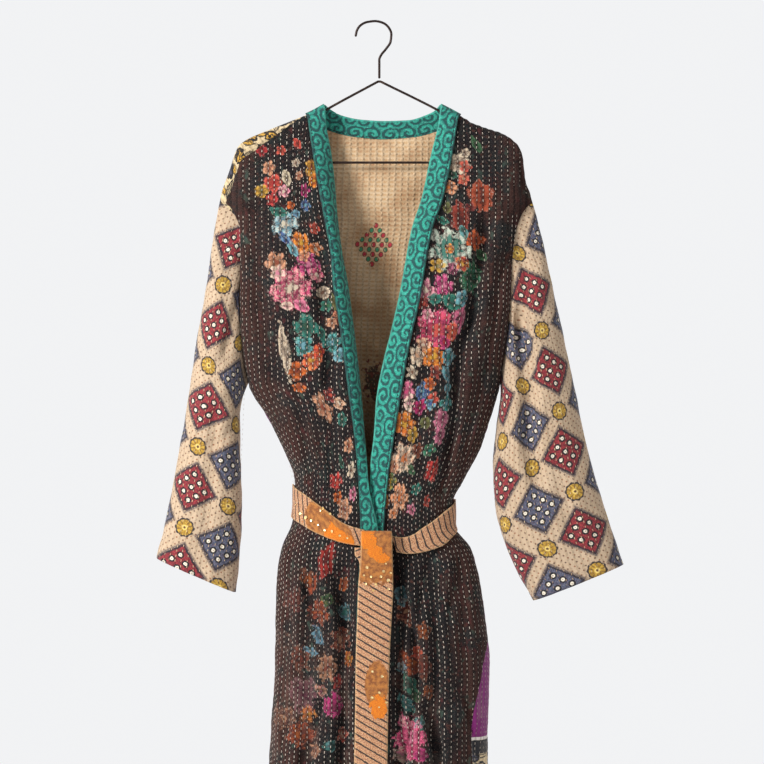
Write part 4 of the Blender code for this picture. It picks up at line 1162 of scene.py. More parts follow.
SMALL_FLOWERS = {
    -1: [
        (261, 151, 5, 5, 0, 4, RED, WINE), (268, 168, 5, 6, 0, 5, PEACH, RUST),
        (287, 178, 8, 4, 70, 0, CREAM, OLIVE), (284, 192, 5, 5, 0, 5, PINK, CREAM),
        (298, 145, 6, 4, 40, 0, CORAL, RED), (295, 162, 5, 4, 0, 5, CREAM, BROWN),
        (282, 150, 4, 4, 0, 5, CORAL, RUST), (314, 181, 6, 6, 0, 5, ORANGE, GOLD),
        (262, 191, 6, 5, 0, 5, GOLD, OLIVE), (299, 176, 5, 4, 0, 5, PEACH, RUST),
        (304, 190, 6, 6, 0, 5, MAGENTA, PLUM), (305, 204, 6, 5, 0, 4, BLUE, SKY),
        (291, 204, 4, 4, 0, 5, ORANGE, RUST), (272, 200, 5, 6, 0, 5, RED, CORAL),
        (278, 211, 9, 5, 20, 0, TEAL, LEAF), (293, 250, 8, 4, 60, 0, SKY, TEAL),
        (315, 228, 5, 5, 0, 5, CORAL, RUST), (297, 213, 5, 4, 0, 0, SKY, BLUE),
        (284, 238, 7, 4, 40, 0, BLUE, SKY), (304, 256, 5, 5, 0, 5, PEACH, ORANGE),
        (316, 250, 6, 5, 0, 5, ORANGE, CREAM), (318, 274, 6, 6, 0, 5, ROSE, CREAM),
        (278, 274, 6, 6, 0, 5, CREAM, PINK), (288, 306, 6, 4, 0, 0, CREAM, PINK),
        (302, 305, 7, 5, 30, 0, PINK, ROSE), (322, 292, 6, 5, 0, 5, CREAM, BROWN),
        (326, 306, 5, 5, 0, 5, TEAL, GREEN), (331, 322, 6, 5, 0, 5, PEACH, BROWN),
        (322, 334, 8, 4, 60, 0, TEAL, LEAF), (339, 355, 6, 5, 0, 5, SKY, TEAL),
        (319, 352, 5, 6, 0, 5, RED, ORANGE), (300, 388, 6, 4, 0, 5, ORANGE, RUST),
        (341, 318, 5, 6, 0, 5, RUST, PEACH), (334, 300, 7, 4, 80, 0, OLIVE, LEAF),
        (338, 404, 6, 5, 0, 5, PEACH, CREAM), (341, 420, 5, 6, 0, 5, TEAL, LEAF),
        (331, 396, 5, 5, 0, 5, WINE, CORAL), (349, 446, 5, 6, 0, 5, PEACH, RUST),
        (352, 470, 5, 6, 0, 5, CREAM, BROWN), (342, 462, 6, 4, 70, 0, LEAF, TEAL),
        (338, 498, 6, 5, 0, 5, ORANGE, RUST), (352, 494, 5, 6, 0, 5, PINK, WINE),
        (327, 600, 8, 5, 10, 0, GREEN, OLIVE), (318, 636, 9, 5, 50, 0, SKY, BLUE),
        (311, 652, 8, 4, 20, 0, SKY, BLUE), (308, 713, 7, 6, 0, 5, ORANGE, GOLD),
        (322, 690, 6, 5, 0, 5, PEACH, PINK), (337, 684, 6, 6, 0, 5, RED, CORAL),
        (345, 610, 5, 6, 0, 5, SKY, TEAL), (344, 585, 5, 6, 0, 5, ORANGE, RUST),
        (341, 733, 6, 6, 0, 5, CORAL, CREAM), (347, 660, 4, 6, 0, 5, ORANGE, GOLD),
        (330, 745, 7, 5, 0, 0, TEAL, SKY), (315, 750, 7, 6, 0, 5, PEACH, RUST),
    ],
    1: [
        (449, 248, 4, 4, 0, 5, ORANGE, GOLD), (476, 144, 8, 4, 60, 0, GREEN, LEAF),
        (466, 152, 4, 4, 0, 5, CREAM, BROWN), (466, 166, 5, 5, 0, 5, CORAL, RUST),
        (463, 178, 5, 5, 0, 5, CORAL, PEACH), (449, 187, 7, 6, 0, 5, PEACH, ORANGE),
        (452, 176, 6, 4, 30, 0, LEAF, TEAL), (470, 206, 5, 4, 0, 5, WINE, RUST),
        (448, 205, 4, 6, 0, 0, OLIVE, LEAF), (442, 222, 6, 4, 20, 0, TEAL, GREEN),
        (463, 232, 6, 4, 60, 0, TEAL, SKY), (461, 266, 6, 6, 0, 5, RED, GOLD),
        (438, 266, 7, 5, 0, 5, GOLD, OLIVE), (452, 271, 5, 5, 0, 5, PLUM, PINK),
        (480, 256, 6, 4, 50, 0, GREEN, LEAF), (434, 299, 7, 5, 0, 0, TEAL, LEAF),
        (463, 298, 6, 6, 0, 5, SKY, TEAL), (424, 303, 5, 6, 0, 5, WINE, CORAL),
        (452, 332, 6, 7, 0, 5, CORAL, ORANGE), (424, 345, 6, 5, 0, 5, PEACH, CREAM),
        (428, 316, 5, 5, 0, 5, PINK, CREAM), (445, 342, 5, 5, 0, 4, MAGENTA, RED),
        (416, 356, 6, 7, 0, 5, CREAM, PEACH), (448, 374, 7, 5, 60, 0, SKY, TEAL),
        (448, 387, 5, 6, 0, 4, SKY, TEAL), (429, 385, 5, 5, 0, 5, ORANGE, RUST),
        (412, 372, 5, 5, 0, 5, CREAM, BROWN), (420, 407, 6, 6, 0, 5, MAGENTA, RED),
        (410, 402, 5, 6, 0, 5, CREAM, PINK), (434, 400, 5, 5, 0, 5, CORAL, RUST),
        (436, 372, 5, 5, 0, 5, RUST, WINE), (412, 436, 5, 6, 0, 5, GOLD, OLIVE),
        (424, 424, 5, 6, 70, 0, OLIVE, LEAF), (430, 452, 6, 5, 0, 5, GREEN, TEAL),
        (418, 450, 5, 6, 0, 5, BROWN, RUST), (410, 470, 6, 4, 40, 0, GREEN, LEAF),
        (431, 405, 5, 5, 0, 4, SKY, BLUE), (393, 466, 5, 6, 0, 5, PEACH, RUST),
        (416, 490, 6, 5, 0, 5, TEAL, LEAF), (412, 508, 6, 5, 0, 5, PINK, WINE),
        (394, 514, 6, 5, 0, 5, PEACH, ORANGE), (384, 500, 5, 6, 0, 5, RUST, GOLD),
        (426, 500, 5, 5, 0, 5, CORAL, WINE), (404, 596, 4, 7, 0, 5, SKY, TEAL),
        (417, 650, 5, 5, 0, 5, CORAL, ORANGE), (402, 668, 5, 5, 0, 5, SKY, TEAL),
        (416, 694, 7, 5, 70, 0, GREEN, LEAF), (404, 722, 6, 6, 0, 5, PINK, CREAM),
        (421, 722, 6, 6, 0, 5, TEAL, SKY), (400, 752, 5, 6, 0, 5, CREAM, PINK),
        (421, 754, 6, 5, 0, 5, MAGENTA, PLUM), (428, 690, 5, 6, 0, 5, BROWN, ORANGE),
    ],
}

PRINT_SIZE = 1.36 * PHOTO_POINT     # a flower's half size on the cloth for each point of the table
SKIRT_PRINT = 780.0                 # below this the print is dimmer


def on_cloth(cloth, rows):
    """The table's motifs by their place on the flat cloth, in millimetres."""
    placed = []
    for px, py, long, wide, turn, petals, main, heart in rows:
        u, v = cloth.seen_at(px, py)
        strength = 0.55 if v > SKIRT_PRINT and main not in (ROSE, MAGENTA) else 0.95
        placed.append((u, v, long * PRINT_SIZE, wide * PRINT_SIZE, turn, petals, main, heart, strength))
    return placed


def strewn(seed, count, band, levels, size):
    """More of the same print by chance where the photograph shows none, in a band of the flat cloth."""
    dice = np.random.default_rng(seed)
    colours = (RED, CORAL, ORANGE, GOLD, PEACH, CREAM, PINK, ROSE, MAGENTA, SKY, TEAL, GREEN, BROWN, RUST)
    rows = []
    for _ in range(count):
        petals = int(dice.choice([0, 4, 5, 5, 6]))
        long = size * dice.uniform(0.6, 1.3)
        wide = long * (0.45 if petals == 0 else dice.uniform(0.8, 1.0))
        rows.append((
            dice.uniform(*band), dice.uniform(*levels), long, wide, dice.uniform(0, 180), petals,
            colours[dice.integers(len(colours))], colours[dice.integers(len(colours))], 0.6,
        ))
    return rows


dark_cotton = Finish("dark_flowered_cotton", 0.92, sheen=0.03)
dark_cotton.shader.inputs["Specular IOR Level"].default_value = 0.15
across, down = millimetres(dark_cotton)
hollow, pucker = quilting(across, down)
flat = dark_cotton.at(across, down)
broad = dark_cotton.noise(flat, 0.016, 4.0)
fine = dark_cotton.noise(flat, 0.55, 3.0)
smear = dark_cotton.noise(flat, 0.14, 5.0)
outer_part = (abs(across) * 0.01 + broad * 1.5 - down.rise(620, 380) * 0.45).rise(1.75, 2.3)
ground = dark_cotton.mix(outer_part, rgb(17, 16, 20), rgb(56, 33, 29))
cool = dark_cotton.noise(dark_cotton.at(across + 300, down * 0.8), 0.024, 4.0).rise(0.52, 0.66)
ground = dark_cotton.mix(cool * 0.8, ground, rgb(24, 34, 36))
ground = dark_cotton.mix(smear.rise(0.55, 0.68) * 0.6, ground, rgb(84, 49, 40))
dim = dark_cotton.noise(dark_cotton.at(across, down * 0.7, 40.0), 0.085, 4.0)
ground = dark_cotton.mix(dim.rise(0.60, 0.70) * 0.55, ground, rgb(62, 84, 74))
ground = dark_cotton.mix(dim.rise(0.40, 0.30) * 0.5, ground, rgb(86, 36, 38))
wobble = dark_cotton.noise(flat, 0.12, 4.0, output=1)
torn = dark_cotton.noise(dark_cotton.at(across, down, 90.0), 0.11, 3.0)
wobble_x, wobble_y = dark_cotton.two_of(wobble)
loose = 1.0 + down.rise(780, 860) * 0.7      # the print of the skirt is vaguer, with soft brown patches
vague = dark_cotton.noise(dark_cotton.at(across, down * 0.8, 60.0), 0.022, 5.0).rise(0.47, 0.60)
vague = vague * down.rise(880, 990) * across.rise(105, 70)
soft_brown = dark_cotton.mix(smear.rise(0.4, 0.6), rgb(108, 80, 70), rgb(70, 42, 36))
ground = dark_cotton.mix(vague * 0.5, ground, soft_brown)
ground = dark_cotton.mix(torn.rise(0.42, 0.34) * 0.6, ground, rgb(20, 26, 28))
colour = ground
for layer in ("large", "small"):
    x, y = dark_cotton.place(layer)
    main, heart = (dark_cotton.carried(layer + part) for part in ("_main", "_heart"))
    here = dark_cotton.carried(layer + "_main", "Alpha")
    petals = dark_cotton.carried(layer + "_heart", "Alpha") * 10
    x, y = x + (wobble_x - 0.5) * loose, y + (wobble_y - 0.5) * loose
    far = (x * x + y * y).math("SQRT")
    angle = y.math("ARCTAN2", x)
    lobe = abs((angle * petals * 0.5).math("COSINE"))
    leaf = petals.rise(0.5, 0.4)
    many = petals.rise(6.4, 6.9)
    flower_edge = 0.62 - many * 0.22 + (0.40 + many * 0.20) * lobe.math("POWER", 0.6) - far
    edge = flower_edge * (1 - leaf) + ((1 - x * x) * 0.85 - abs(y)) * leaf
    inside = (edge + (fine - 0.5) * 0.25).rise(-0.05, 0.20) * here * (torn + fine * 0.5).rise(0.52, 0.66)
    main = dark_cotton.mix((fine + smear - 0.5).rise(0.42, 0.62) * 0.5, main, heart)
    outward = (far + (smear - 0.5) * 1.2).rise(0.15, 0.85)
    shade = dark_cotton.mix(outward, (0.5, 0.46, 0.46), (1.45, 1.4, 1.38))
    main = dark_cotton.blended(main, shade)
    crease = lobe.rise(0.40, 0.08) * far.rise(0.15, 0.4) * (1 - leaf) + abs(y).rise(0.12, 0.04) * leaf
    main = dark_cotton.mix(crease * 0.55, main, rgb(46, 26, 32))
    inner = abs(far - 0.5 - 0.12 * (angle * petals + 1.5).math("COSINE")).rise(0.10, 0.02) * (1 - leaf)
    main = dark_cotton.coated(
        main,
        (inner * 0.45, rgb(64, 26, 36)),
        ((far - many * 0.24).rise(0.30, 0.18) * (1 - leaf) * 0.8, heart),
        ((fine - abs(edge - 0.12) * 3).rise(0.35, 0.6) * 0.35, rgb(236, 222, 204)),
        (0.16, rgb(60, 50, 50)),
    )
    colour = dark_cotton.mix(inside * 0.95, colour, main)
threads = weave(dark_cotton, across, down)
# Painted shade in the hollows of the stitch lines and between the threads, and a painted highlight on the
# ridges between them.
shade = dark_cotton.mix(hollow * 0.7 + threads * 0.26, (1.08, 1.07, 1.06), (0.24, 0.22, 0.22))
colour = dark_cotton.blended(colour, shade)
# Fine pale flecks and dark specks at random: painted light and shade of the small stitches and puckers.
painted_speckle = dark_cotton.noise(dark_cotton.at(across * 1.1, down * 1.1), 1.0, 2.0)
colour = dark_cotton.mix(painted_speckle.rise(0.56, 0.70) * 0.30, colour, rgb(158, 134, 118))
colour = dark_cotton.mix(painted_speckle.rise(0.42, 0.30) * 0.5, colour, rgb(14, 12, 14))
flower_print = dark_cotton.paint(colour, 0.82 + 0.14 * fine, threads * 0.45 + pucker * 1.8, 0.0006)

strewn_low = {
    -1: strewn(5, 26, (-80, -8), (1110, 1330), 17),
    1: strewn(6, 26, (6, 96), (1110, 1330), 17),
}
strewn_small = {
    -1: strewn(8, 60, (-90, -5), (1100, 1335), 9),
    1: strewn(9, 60, (4, 110), (1100, 1335), 9),
}
for side, name, node in ((-1, "quilted_front_left", "front_left"), (1, "quilted_front_right", "front_right")):
    thing = fronts[side].put_together(name, CLOTH, [flower_print, leaf_print, checked_lining])
    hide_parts(node)
    if side > 0:
        front = fronts[side]
        turned = front.corner_columns.mean(axis=1) > SEAM_COLUMN
        turned &= front.at_corners(front.down).mean(axis=1) > TURNED_FROM
        kinds = np.zeros(len(turned), dtype=np.int32)
        thing.data.polygons.foreach_get("material_index", kinds)
        kinds[turned & (kinds == 0)] = 1
        thing.data.polygons.foreach_set("material_index", kinds)
    fronts[side].print_on("large", on_cloth(fronts[side], LARGE_FLOWERS[side]) + strewn_low[side])
    fronts[side].print_on("small", on_cloth(fronts[side], SMALL_FLOWERS[side]) + strewn_small[side])
    running_stitches(fronts[side], name.replace("quilted", "running_stitches"), cream_thread, seed=7 + side)
strip_thing = strip.put_together("shoulder_strip_of_leaf_print", CLOTH, [leaf_print, checked_lining])
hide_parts("shoulder_strip")


# The sleeves: straight tubes of pale quilted cotton printed with tilted squares, sewn to the armholes and
# open at the cuffs.

# Each sleeve from the armhole to the cuff: its outer and its inner edge, and its half depth.
SLEEVE = {
    -1: [
        # outer x, outer low, inner x, inner low, half depth
        (-231, 270, -190, 533, 30),
        (-238, 316, -194, 545, 36),
        (-248, 390, -198, 566, 42),
        (-262, 468, -199, 600, 44),
        (-274, 550, -198, 650, 43),
        (-288, 630, -196, 712, 41),
        (-304, 715, -199, 778, 39),
        (-321, 787, -205, 837, 37),
    ],
    1: [
        (234, 270, 186, 533, 30),
        (245, 318, 185, 545, 38),
        (258, 380, 182, 568, 45),
        (274, 452, 177, 602, 48),
        (292, 536, 173, 650, 48),
        (312, 630, 177, 714, 46),
        (338, 718, 198, 784, 43),
        (364, 796, 232, 849, 40),
    ],
}

# Lengthwise folds of the sleeves: place from outer edge (0) to inner edge (1), half width, depth,
# first and last station, and the face they lie on.
FOLDS_SLEEVE = {
    -1: [(0.52, 0.16, 4.0, 3.0, 7.6, -1), (0.62, 0.18, 7.0, 0.6, 6.0, 1)],
    1: [(0.56, 0.17, 13.0, 0.5, 5.6, -1), (0.36, 0.13, 3.5, 3.6, 7.6, -1), (0.5, 0.18, 7.0, 0.6, 6.4, 1)],
}


def armhole_point(side, share, back):
    """The body's edge beside the sleeve, from the ridge (0) down to the underarm (1)."""
    rounded = 0.1
    if share < rounded:
        return shoulder(side, 1, share / rounded * (-BACK_START if back else 90))
    v = (share - rounded) / (1 - rounded)
    return back_point(side, v) if back else front_point(side, 1, 1 + v)


def sleeve_point(side, q, k):
    """A sleeve: q runs round it from 0 on its outer edge over the front to 0.5 on its inner edge and
    on over the back, and k along it from the armhole's station 0 to the cuff's."""
    back = q > 0.5
    share = 2 * (1 - q) if back else 2 * q
    rows = [(n, *row) for n, row in enumerate(SLEEVE[side])]
    ox, olow, ix, ilow, half = (read(rows, k, c) for c in range(1, 6))
    turn = math.pi * share
    along = round_part(math.cos(turn), 0.9)
    wide = round_part(math.sin(turn), 0.8)
    x = (ox + ix) / 2 + (ox - ix) / 2 * along
    low = (olow + ilow) / 2 + (olow - ilow) / 2 * along
    y = -half * wide if not back else half * wide * 0.85
    part = (1 - along) / 2
    for place, half_width, depth, first, last, face in FOLDS_SLEEVE[side]:
        off = (part - place) / half_width
        if face == (1 if back else -1) and abs(off) < 1:
            ends = smooth((k - first) / 0.9) * (1 - smooth((k - last + 0.9) / 0.9))
            y -= face * depth * ends * math.cos(off * math.pi / 2) ** 2
    joined = 1 - smooth(k / 1.6)
    if joined > 0:
        ex, ey, ez = armhole_point(side, share, back)
        x, y, low = x + (ex - x) * joined, y + (ey - y) * joined, low + (-ez - low) * joined
    return x, y, -low


# Creases of the sleeves, in the same columns.
SLEEVE_CREASES = {
    -1: [
        (-204, 320, -206, 500, 7, -4.0, -1), (-204, 300, -230, 352, 8, -2.6, -1),
        (-200, 400, -238, 470, 9, 2.6, -1), (-206, 470, -250, 520, 8, -3.0, -1),
        (-212, 540, -262, 570, 8, 2.8, -1), (-204, 590, -262, 640, 8, -2.4, -1),
        (-216, 640, -276, 664, 7, 2.2, -1), (-214, 700, -270, 716, 7, -2.0, -1),
        (-236, 330, -226, 440, 8, 2.0, -1), (-250, 700, -262, 800, 9, 2.2, -1),
        (-210, 400, -244, 500, 10, 2.8, 1), (-206, 520, -258, 590, 9, -2.8, 1),
        (-212, 640, -280, 700, 9, 2.4, 1),
    ],
    1: [
        (210, 320, 216, 470, 10, -7.0, -1), (216, 440, 228, 610, 9, -5.0, -1),
        (222, 290, 238, 360, 8, -2.6, -1), (226, 380, 262, 440, 9, 2.6, -1),
        (206, 470, 258, 520, 8, -2.6, -1), (200, 540, 268, 590, 9, 3.0, -1),
        (204, 600, 282, 640, 8, -2.4, -1), (214, 660, 290, 716, 9, 2.4, -1),
        (232, 720, 310, 770, 8, -2.0, -1), (280, 660, 320, 790, 9, 2.2, -1),
        (210, 400, 250, 500, 10, 2.8, 1), (206, 520, 262, 590, 9, -2.8, 1), (230, 650, 300, 720, 9, 2.4, 1),
    ],
}


def round_the_arm(points, arm):
    """How far round the sleeve each point lies from the first column, at its own distance along the arm."""
    reach = points @ arm
    flat = points - reach[..., None] * arm
    steps = np.linspace(reach.min(), reach.max(), 200)
    columns = range(points.shape[1])
    laid = np.array([
        [np.interp(steps, np.maximum.accumulate(reach[:, j]), flat[:, j, c]) for c in range(3)]
        for j in columns
    ])
    ways = np.linalg.norm(np.diff(laid, axis=0), axis=1)
    round_it = np.concatenate([np.zeros((1, len(steps))), np.cumsum(ways, axis=0)])
    return np.stack([np.interp(reach[:, j], steps, round_it[j]) for j in columns], axis=1)


SLEEVE_COLUMNS, SLEEVE_ROWS = 96, 118
CLEAR_OF_BODY = 40      # the row from which a sleeve hangs free of the armhole
sleeves = {}
for side in (-1, 1):
    # The seam is under the arm, and the flat cloth is measured from the outer edge and along the arm.
    around_it = [(0.5 + n / SLEEVE_COLUMNS) % 1 for n in range(SLEEVE_COLUMNS)]
    along_it = spaced(0, len(SLEEVE[side]) - 1, SLEEVE_ROWS)
    grid = np.array([[sleeve_point(side, q, k) for q in around_it] for k in along_it])
    sleeve = Cloth(grid, (0, -1, 0), ring=True)
    whole = np.concatenate([grid, grid[:, :1]], axis=1)
    arm = grid[-1].mean(axis=0) - grid[CLEAR_OF_BODY].mean(axis=0)
    arm /= np.linalg.norm(arm)
    across = round_the_arm(whole, arm)
    outer_edge = SLEEVE_COLUMNS // 2
    sleeve.measure(across - across[:, outer_edge:outer_edge + 1], whole @ arm)
    sleeve.crease(SLEEVE_CREASES[side])
    wave = 0.5 - 0.5 * np.cos(2 * math.pi * sleeve.across[:, :-1] / STITCH_ROWS)
    rough = unevenness(sleeve.points[..., 0], -sleeve.points[..., 2], 40, 31 + side)
    sleeve.raise_by(QUILT_RIPPLE * (wave - 0.5) + 0.5 * rough)
    sleeves[side] = sleeve

tile_cloth = Finish("tilted_square_print", 0.92, sheen=0.08)
across, down = millimetres(tile_cloth)
hollow, pucker = quilting(across, down)
flat = tile_cloth.at(across, down)
fuzz = tile_cloth.noise(flat, 0.55, 3.0, output=1)
fuzz_x, fuzz_y = tile_cloth.two_of(fuzz)
# From one square to the next along the print's two slanting ways, and the slant of the squares' sides.
TILE_WAYS = ((55.0, -48.5), (57.0, 71.5))
SQUARE_TURN = math.radians(-39)


def on_sleeve(i, j, fray):
    """From the print's own ways to millimetres on the sleeve, with a frayed edge."""
    x = i * TILE_WAYS[0][0] + j * TILE_WAYS[1][0] + (fuzz_x - 0.5) * fray
    return x, i * TILE_WAYS[0][1] + j * TILE_WAYS[1][1] + (fuzz_y - 0.5) * fray


i, j = tile_cloth.place("tiles")
cell_i, cell_j = (i + 0.5).math("FLOOR"), (j + 0.5).math("FLOOR")
x, y = on_sleeve(i - cell_i, j - cell_j, 2.4)
sine, cosine = math.sin(SQUARE_TURN), math.cos(SQUARE_TURN)
x, y = x * cosine + y * sine, y * cosine - x * sine
reach = abs(x).math("MAXIMUM", abs(y))
red_here = abs((cell_i + cell_j) % 2.0 - 1.0).rise(0.4, 0.6)
mottle = tile_cloth.noise(flat, 0.28, 4.0)
ground = tile_cloth.mix(tile_cloth.noise(flat, 0.03, 4.0), rgb(208, 184, 156), rgb(184, 156, 126))
DOT_ACROSS, DOT_DOWN = 11, 12            # small dots from one square to the next
dot_x, dot_y = (i * DOT_ACROSS + 0.5).math("FRACT") - 0.5, (j * DOT_DOWN + 0.5).math("FRACT") - 0.5
dot = (dot_x * dot_x + dot_y * dot_y * 1.6).math("SQRT").rise(0.25, 0.14)
dot_brown = tile_cloth.mix(mottle.rise(0.4, 0.6), rgb(70, 48, 38), rgb(142, 84, 44))
ground = tile_cloth.mix(dot * 0.85, ground, dot_brown)
# Round yellow flowers in the gaps.
mid_i, mid_j = i.math("FLOOR") + 0.5, j.math("FLOOR") + 0.5
rx, ry = on_sleeve(i - mid_i, j - mid_j, 2.0)
far = (rx * rx + ry * ry).math("SQRT")
spoke = (ry.math("ARCTAN2", rx) * 10).math("SINE")
rosette = tile_cloth.mix(mottle.rise(0.35, 0.65), rgb(204, 164, 62), rgb(158, 118, 44))
rosette = tile_cloth.coated(
    rosette,
    (spoke.rise(0.35, 0.8) * far.rise(4.2, 6.0) * 0.6, rgb(92, 70, 42)),
    (far.rise(4.4, 3.4), rgb(226, 196, 110)),
    (far.rise(2.3, 1.4), rgb(96, 62, 40)),
    (far.rise(10.6, 12.0), rgb(50, 42, 44)),
)
ground = tile_cloth.mix((far + spoke * 0.7).rise(14.2, 13.2), ground, rosette)
# Squares with nine ringed dots.
SQUARE = 26.0
weft = (x * 2.1).math("SINE") * (y * 2.1).math("SINE")
red = tile_cloth.mix(mottle.rise(0.35, 0.65), rgb(156, 42, 50), rgb(108, 30, 38))
slate = tile_cloth.mix(mottle.rise(0.35, 0.65), rgb(90, 104, 124), rgb(56, 68, 90))
square = tile_cloth.mix(red_here, slate, red)
square = tile_cloth.mix(weft.rise(0.1, 0.7) * 0.5, square, rgb(40, 26, 32))
square = tile_cloth.mix(weft.rise(-0.3, -0.8) * 0.25, square, rgb(214, 110, 104))
near_x, near_y = (x / 14.0 + 0.5).math("FRACT") - 0.5, (y / 14.0 + 0.5).math("FRACT") - 0.5
ring = (near_x * near_x + near_y * near_y).math("SQRT") * 14.0
square = tile_cloth.coated(
    square,
    (ring.rise(5.3, 4.7), rgb(28, 22, 26)),
    (ring.rise(2.9, 2.3), rgb(236, 226, 206)),
    (ring.rise(1.1, 0.6) * 0.7, rgb(120, 80, 70)),
    (reach.rise(22.8, 23.8) * 0.85, rgb(44, 36, 42)),
)
colour = tile_cloth.mix(reach.rise(SQUARE + 0.8, SQUARE - 0.2), ground, square)
halo = reach.rise(SQUARE - 0.5, SQUARE + 0.3) * reach.rise(SQUARE + 4.6, SQUARE + 1.2)
colour = tile_cloth.mix(halo * fuzz_x.rise(0.3, 0.5) * 0.85, colour, rgb(70, 60, 66))
threads = weave(tile_cloth, across, down)
# Painted shade in the hollows of the stitch lines and between the threads, and a slight painted highlight on
# the rest.
shade = tile_cloth.mix(hollow * 0.3 + threads * 0.22, (1.06, 1.06, 1.06), (0.5, 0.48, 0.46))
colour = tile_cloth.blended(colour, shade)
tile_print = tile_cloth.paint(colour, None, threads * 0.45 + pucker * 1.5, 0.0006)

sleeve_inside = Finish("sleeve_lining", 0.93, sheen=0.08)
across, down = millimetres(sleeve_inside)
threads = weave(sleeve_inside, across, down)
blotch = sleeve_inside.noise(sleeve_inside.at(across, down), 0.03, 4.0)
tan = sleeve_inside.mix(blotch.rise(0.35, 0.7), rgb(202, 168, 126), rgb(168, 132, 90))
# Painted shade between the threads of the weave, and a slight painted highlight on them.
tan = sleeve_inside.blended(tan, sleeve_inside.mix(threads * 0.4, (1.05, 1.05, 1.05), (0.6, 0.58, 0.56)))
sleeve_lining = sleeve_inside.paint(tan, None, threads * 0.6, 0.0005)

# Where the photograph shows squares (whole numbers) and round flowers (halves) of each sleeve.
TILES = {
    -1: [
        (219, 325, 0, 0), (226, 240, 1, -1), (209, 410, -1, 1), (193, 491, -2, 2), (178, 561, -3, 3),
        (233, 467, -1, 2), (219, 547, -2, 3), (225, 284, 0.5, -0.5), (213, 368, -0.5, 0.5),
        (201, 452, -1.5, 1.5), (184, 532, -2.5, 2.5), (229, 506, -1.5, 2.5), (210, 579, -2.5, 3.5),
    ],
    1: [
        (547, 370, 0, 0), (539, 290, 1, -1), (562, 453, -1, 1), (586, 531, -2, 2), (540, 510, -1, 2),
        (562, 582, -2, 3), (528, 430, 0, 1), (542, 328, 0.5, -0.5), (555, 411, -0.5, 0.5),
        (575, 493, -1.5, 1.5), (549, 548, -1.5, 2.5), (529, 470, -0.5, 1.5),
    ],
}


def lay_tiles(sleeve, side):
    """The print's own two ways over a sleeve, laid so that its squares come where they are seen."""
    seen = [(*sleeve.seen_at(px, py), 1.0) for px, py, _, _ in TILES[side]]
    cells = [row[2:] for row in TILES[side]]
    ways = np.linalg.lstsq(np.array(seen), np.array(cells), rcond=None)[0]
    across, down = sleeve.at_corners(sleeve.across), sleeve.at_corners(sleeve.down)
    sleeve.map("tiles", across[..., None] * ways[0] + down[..., None] * ways[1] + ways[2])


for side, name, node in ((-1, "sleeve_left_tube", "sleeve_left"), (1, "sleeve_right_tube", "sleeve_right")):
    thing = sleeves[side].put_together(name, CLOTH, [tile_print, sleeve_lining])
    lay_tiles(sleeves[side], side)
    running_stitches(sleeves[side], "running_stitches_" + node, tan_thread, seed=12 + side)
    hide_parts(node)


# The neck band: a long strip of teal cotton folded double, sewn along both fronts' edges and round the
# back of the neck, and turned a little inward on the left.

# The neck band's free edge, seen from the front.
BAND_EDGE = {
    -1: [(124, -74), (150, -73), (195, -66), (243, -61), (282, -58), (349, -49), (374, -44), (449, -33.5),
         (545, -22.5), (615, -16.6), (686, -9), (746, 4), (850, 8), (1000, 7), (1341, 8)],
    1: [(123, 97), (157, 92), (199, 82), (261, 69), (305, 55), (399, 37), (456, 24), (496, 13.7), (555, 2.5),
        (606, -1), (646, -6), (686, -8), (720, -18), (850, -21), (1000, -20), (1341, -18)],
}

# How far back of its seam the band's free edge lies.
BAND_TURN = {
    -1: [(124, 0), (180, 12), (282, 26), (450, 26), (560, 20), (640, 7), (690, 2), (800, 2), (1341, 3)],
    1: [(124, 0), (180, 8), (300, 14), (450, 14), (600, 9), (690, 3), (800, 2), (1341, 3)],
}

NECK_TOP = [
    (-73, -7.5, 129), (-74.5, -5, 124), (-75, 0, 121.5), (-72, 6, 123.5), (-64, 11, 129), (-50, 14, 136),
    (-22, 16, 142), (14, 17, 144), (48, 16, 143), (76, 14, 135), (88, 11, 129), (93.5, 6, 123.5),
    (96, 0, 121.5), (96, -5, 124), (95, -7.5, 129),
]


def way_out(surface, a, b, limits, sign):
    """The outward direction of a surface of two numbers, which run from limits[0] to limits[1]."""
    size = 0.002
    (a0, b0), (a1, b1) = limits
    across = Vector(surface(min(a + size, a1), b)) - Vector(surface(max(a - size, a0), b))
    down = Vector(surface(a, min(b + size, b1))) - Vector(surface(a, max(b - size, b0)))
    return sign * down.cross(across).normalized()


def front_way(side, u, w):
    return way_out(lambda a, b: front_point(side, a, b), u, w, ((0, 0), (1, 3)), side)


def seam_and_way(surface, at):
    """A point of the seam, and the way across from the cloth to the band there."""
    seam = Vector(surface(at))
    return seam, (seam - Vector(surface(at + 0.01))).normalized()


def band_line(side, w):
    """The neck band at one height of a front: the seam, the way across from it, and the free edge."""
    seam, away = seam_and_way(lambda u: front_point(side, u, w), 0)
    low = -seam.z
    dx = abs(read(BAND_EDGE[side], low) - seam.x)
    low_free = low - 0.22 * dx
    free = Vector((read(BAND_EDGE[side], low_free), seam.y + read(BAND_TURN[side], low), -low_free))
    out = front_way(side, 0, w)
    return seam, away, free, out


def neck_line(t):
    """The neck band at the share t of its way round the neck, from ridge to ridge."""
    ridge = 0.07
    if t < ridge or t > 1 - ridge:
        side, w = (-1, 1 - t / ridge) if t < ridge else (1, 1 - (1 - t) / ridge)
        seam, away = seam_and_way(lambda u: front_point(side, u, w), 0)
        out = front_way(side, 0, w)
    else:
        s = NECK_SHARE * (2 * (t - ridge) / (1 - 2 * ridge) - 1) * 0.95
        seam = Vector(back_point(s, 0))
        away = (seam - Vector(back_point(s, 0.01))).normalized()
        out = way_out(back_point, s, 0, ((-1, 0), (1, 2)), -1)
    return seam, away, Vector(walk([(x, y, -low) for x, y, low in NECK_TOP], t)), out


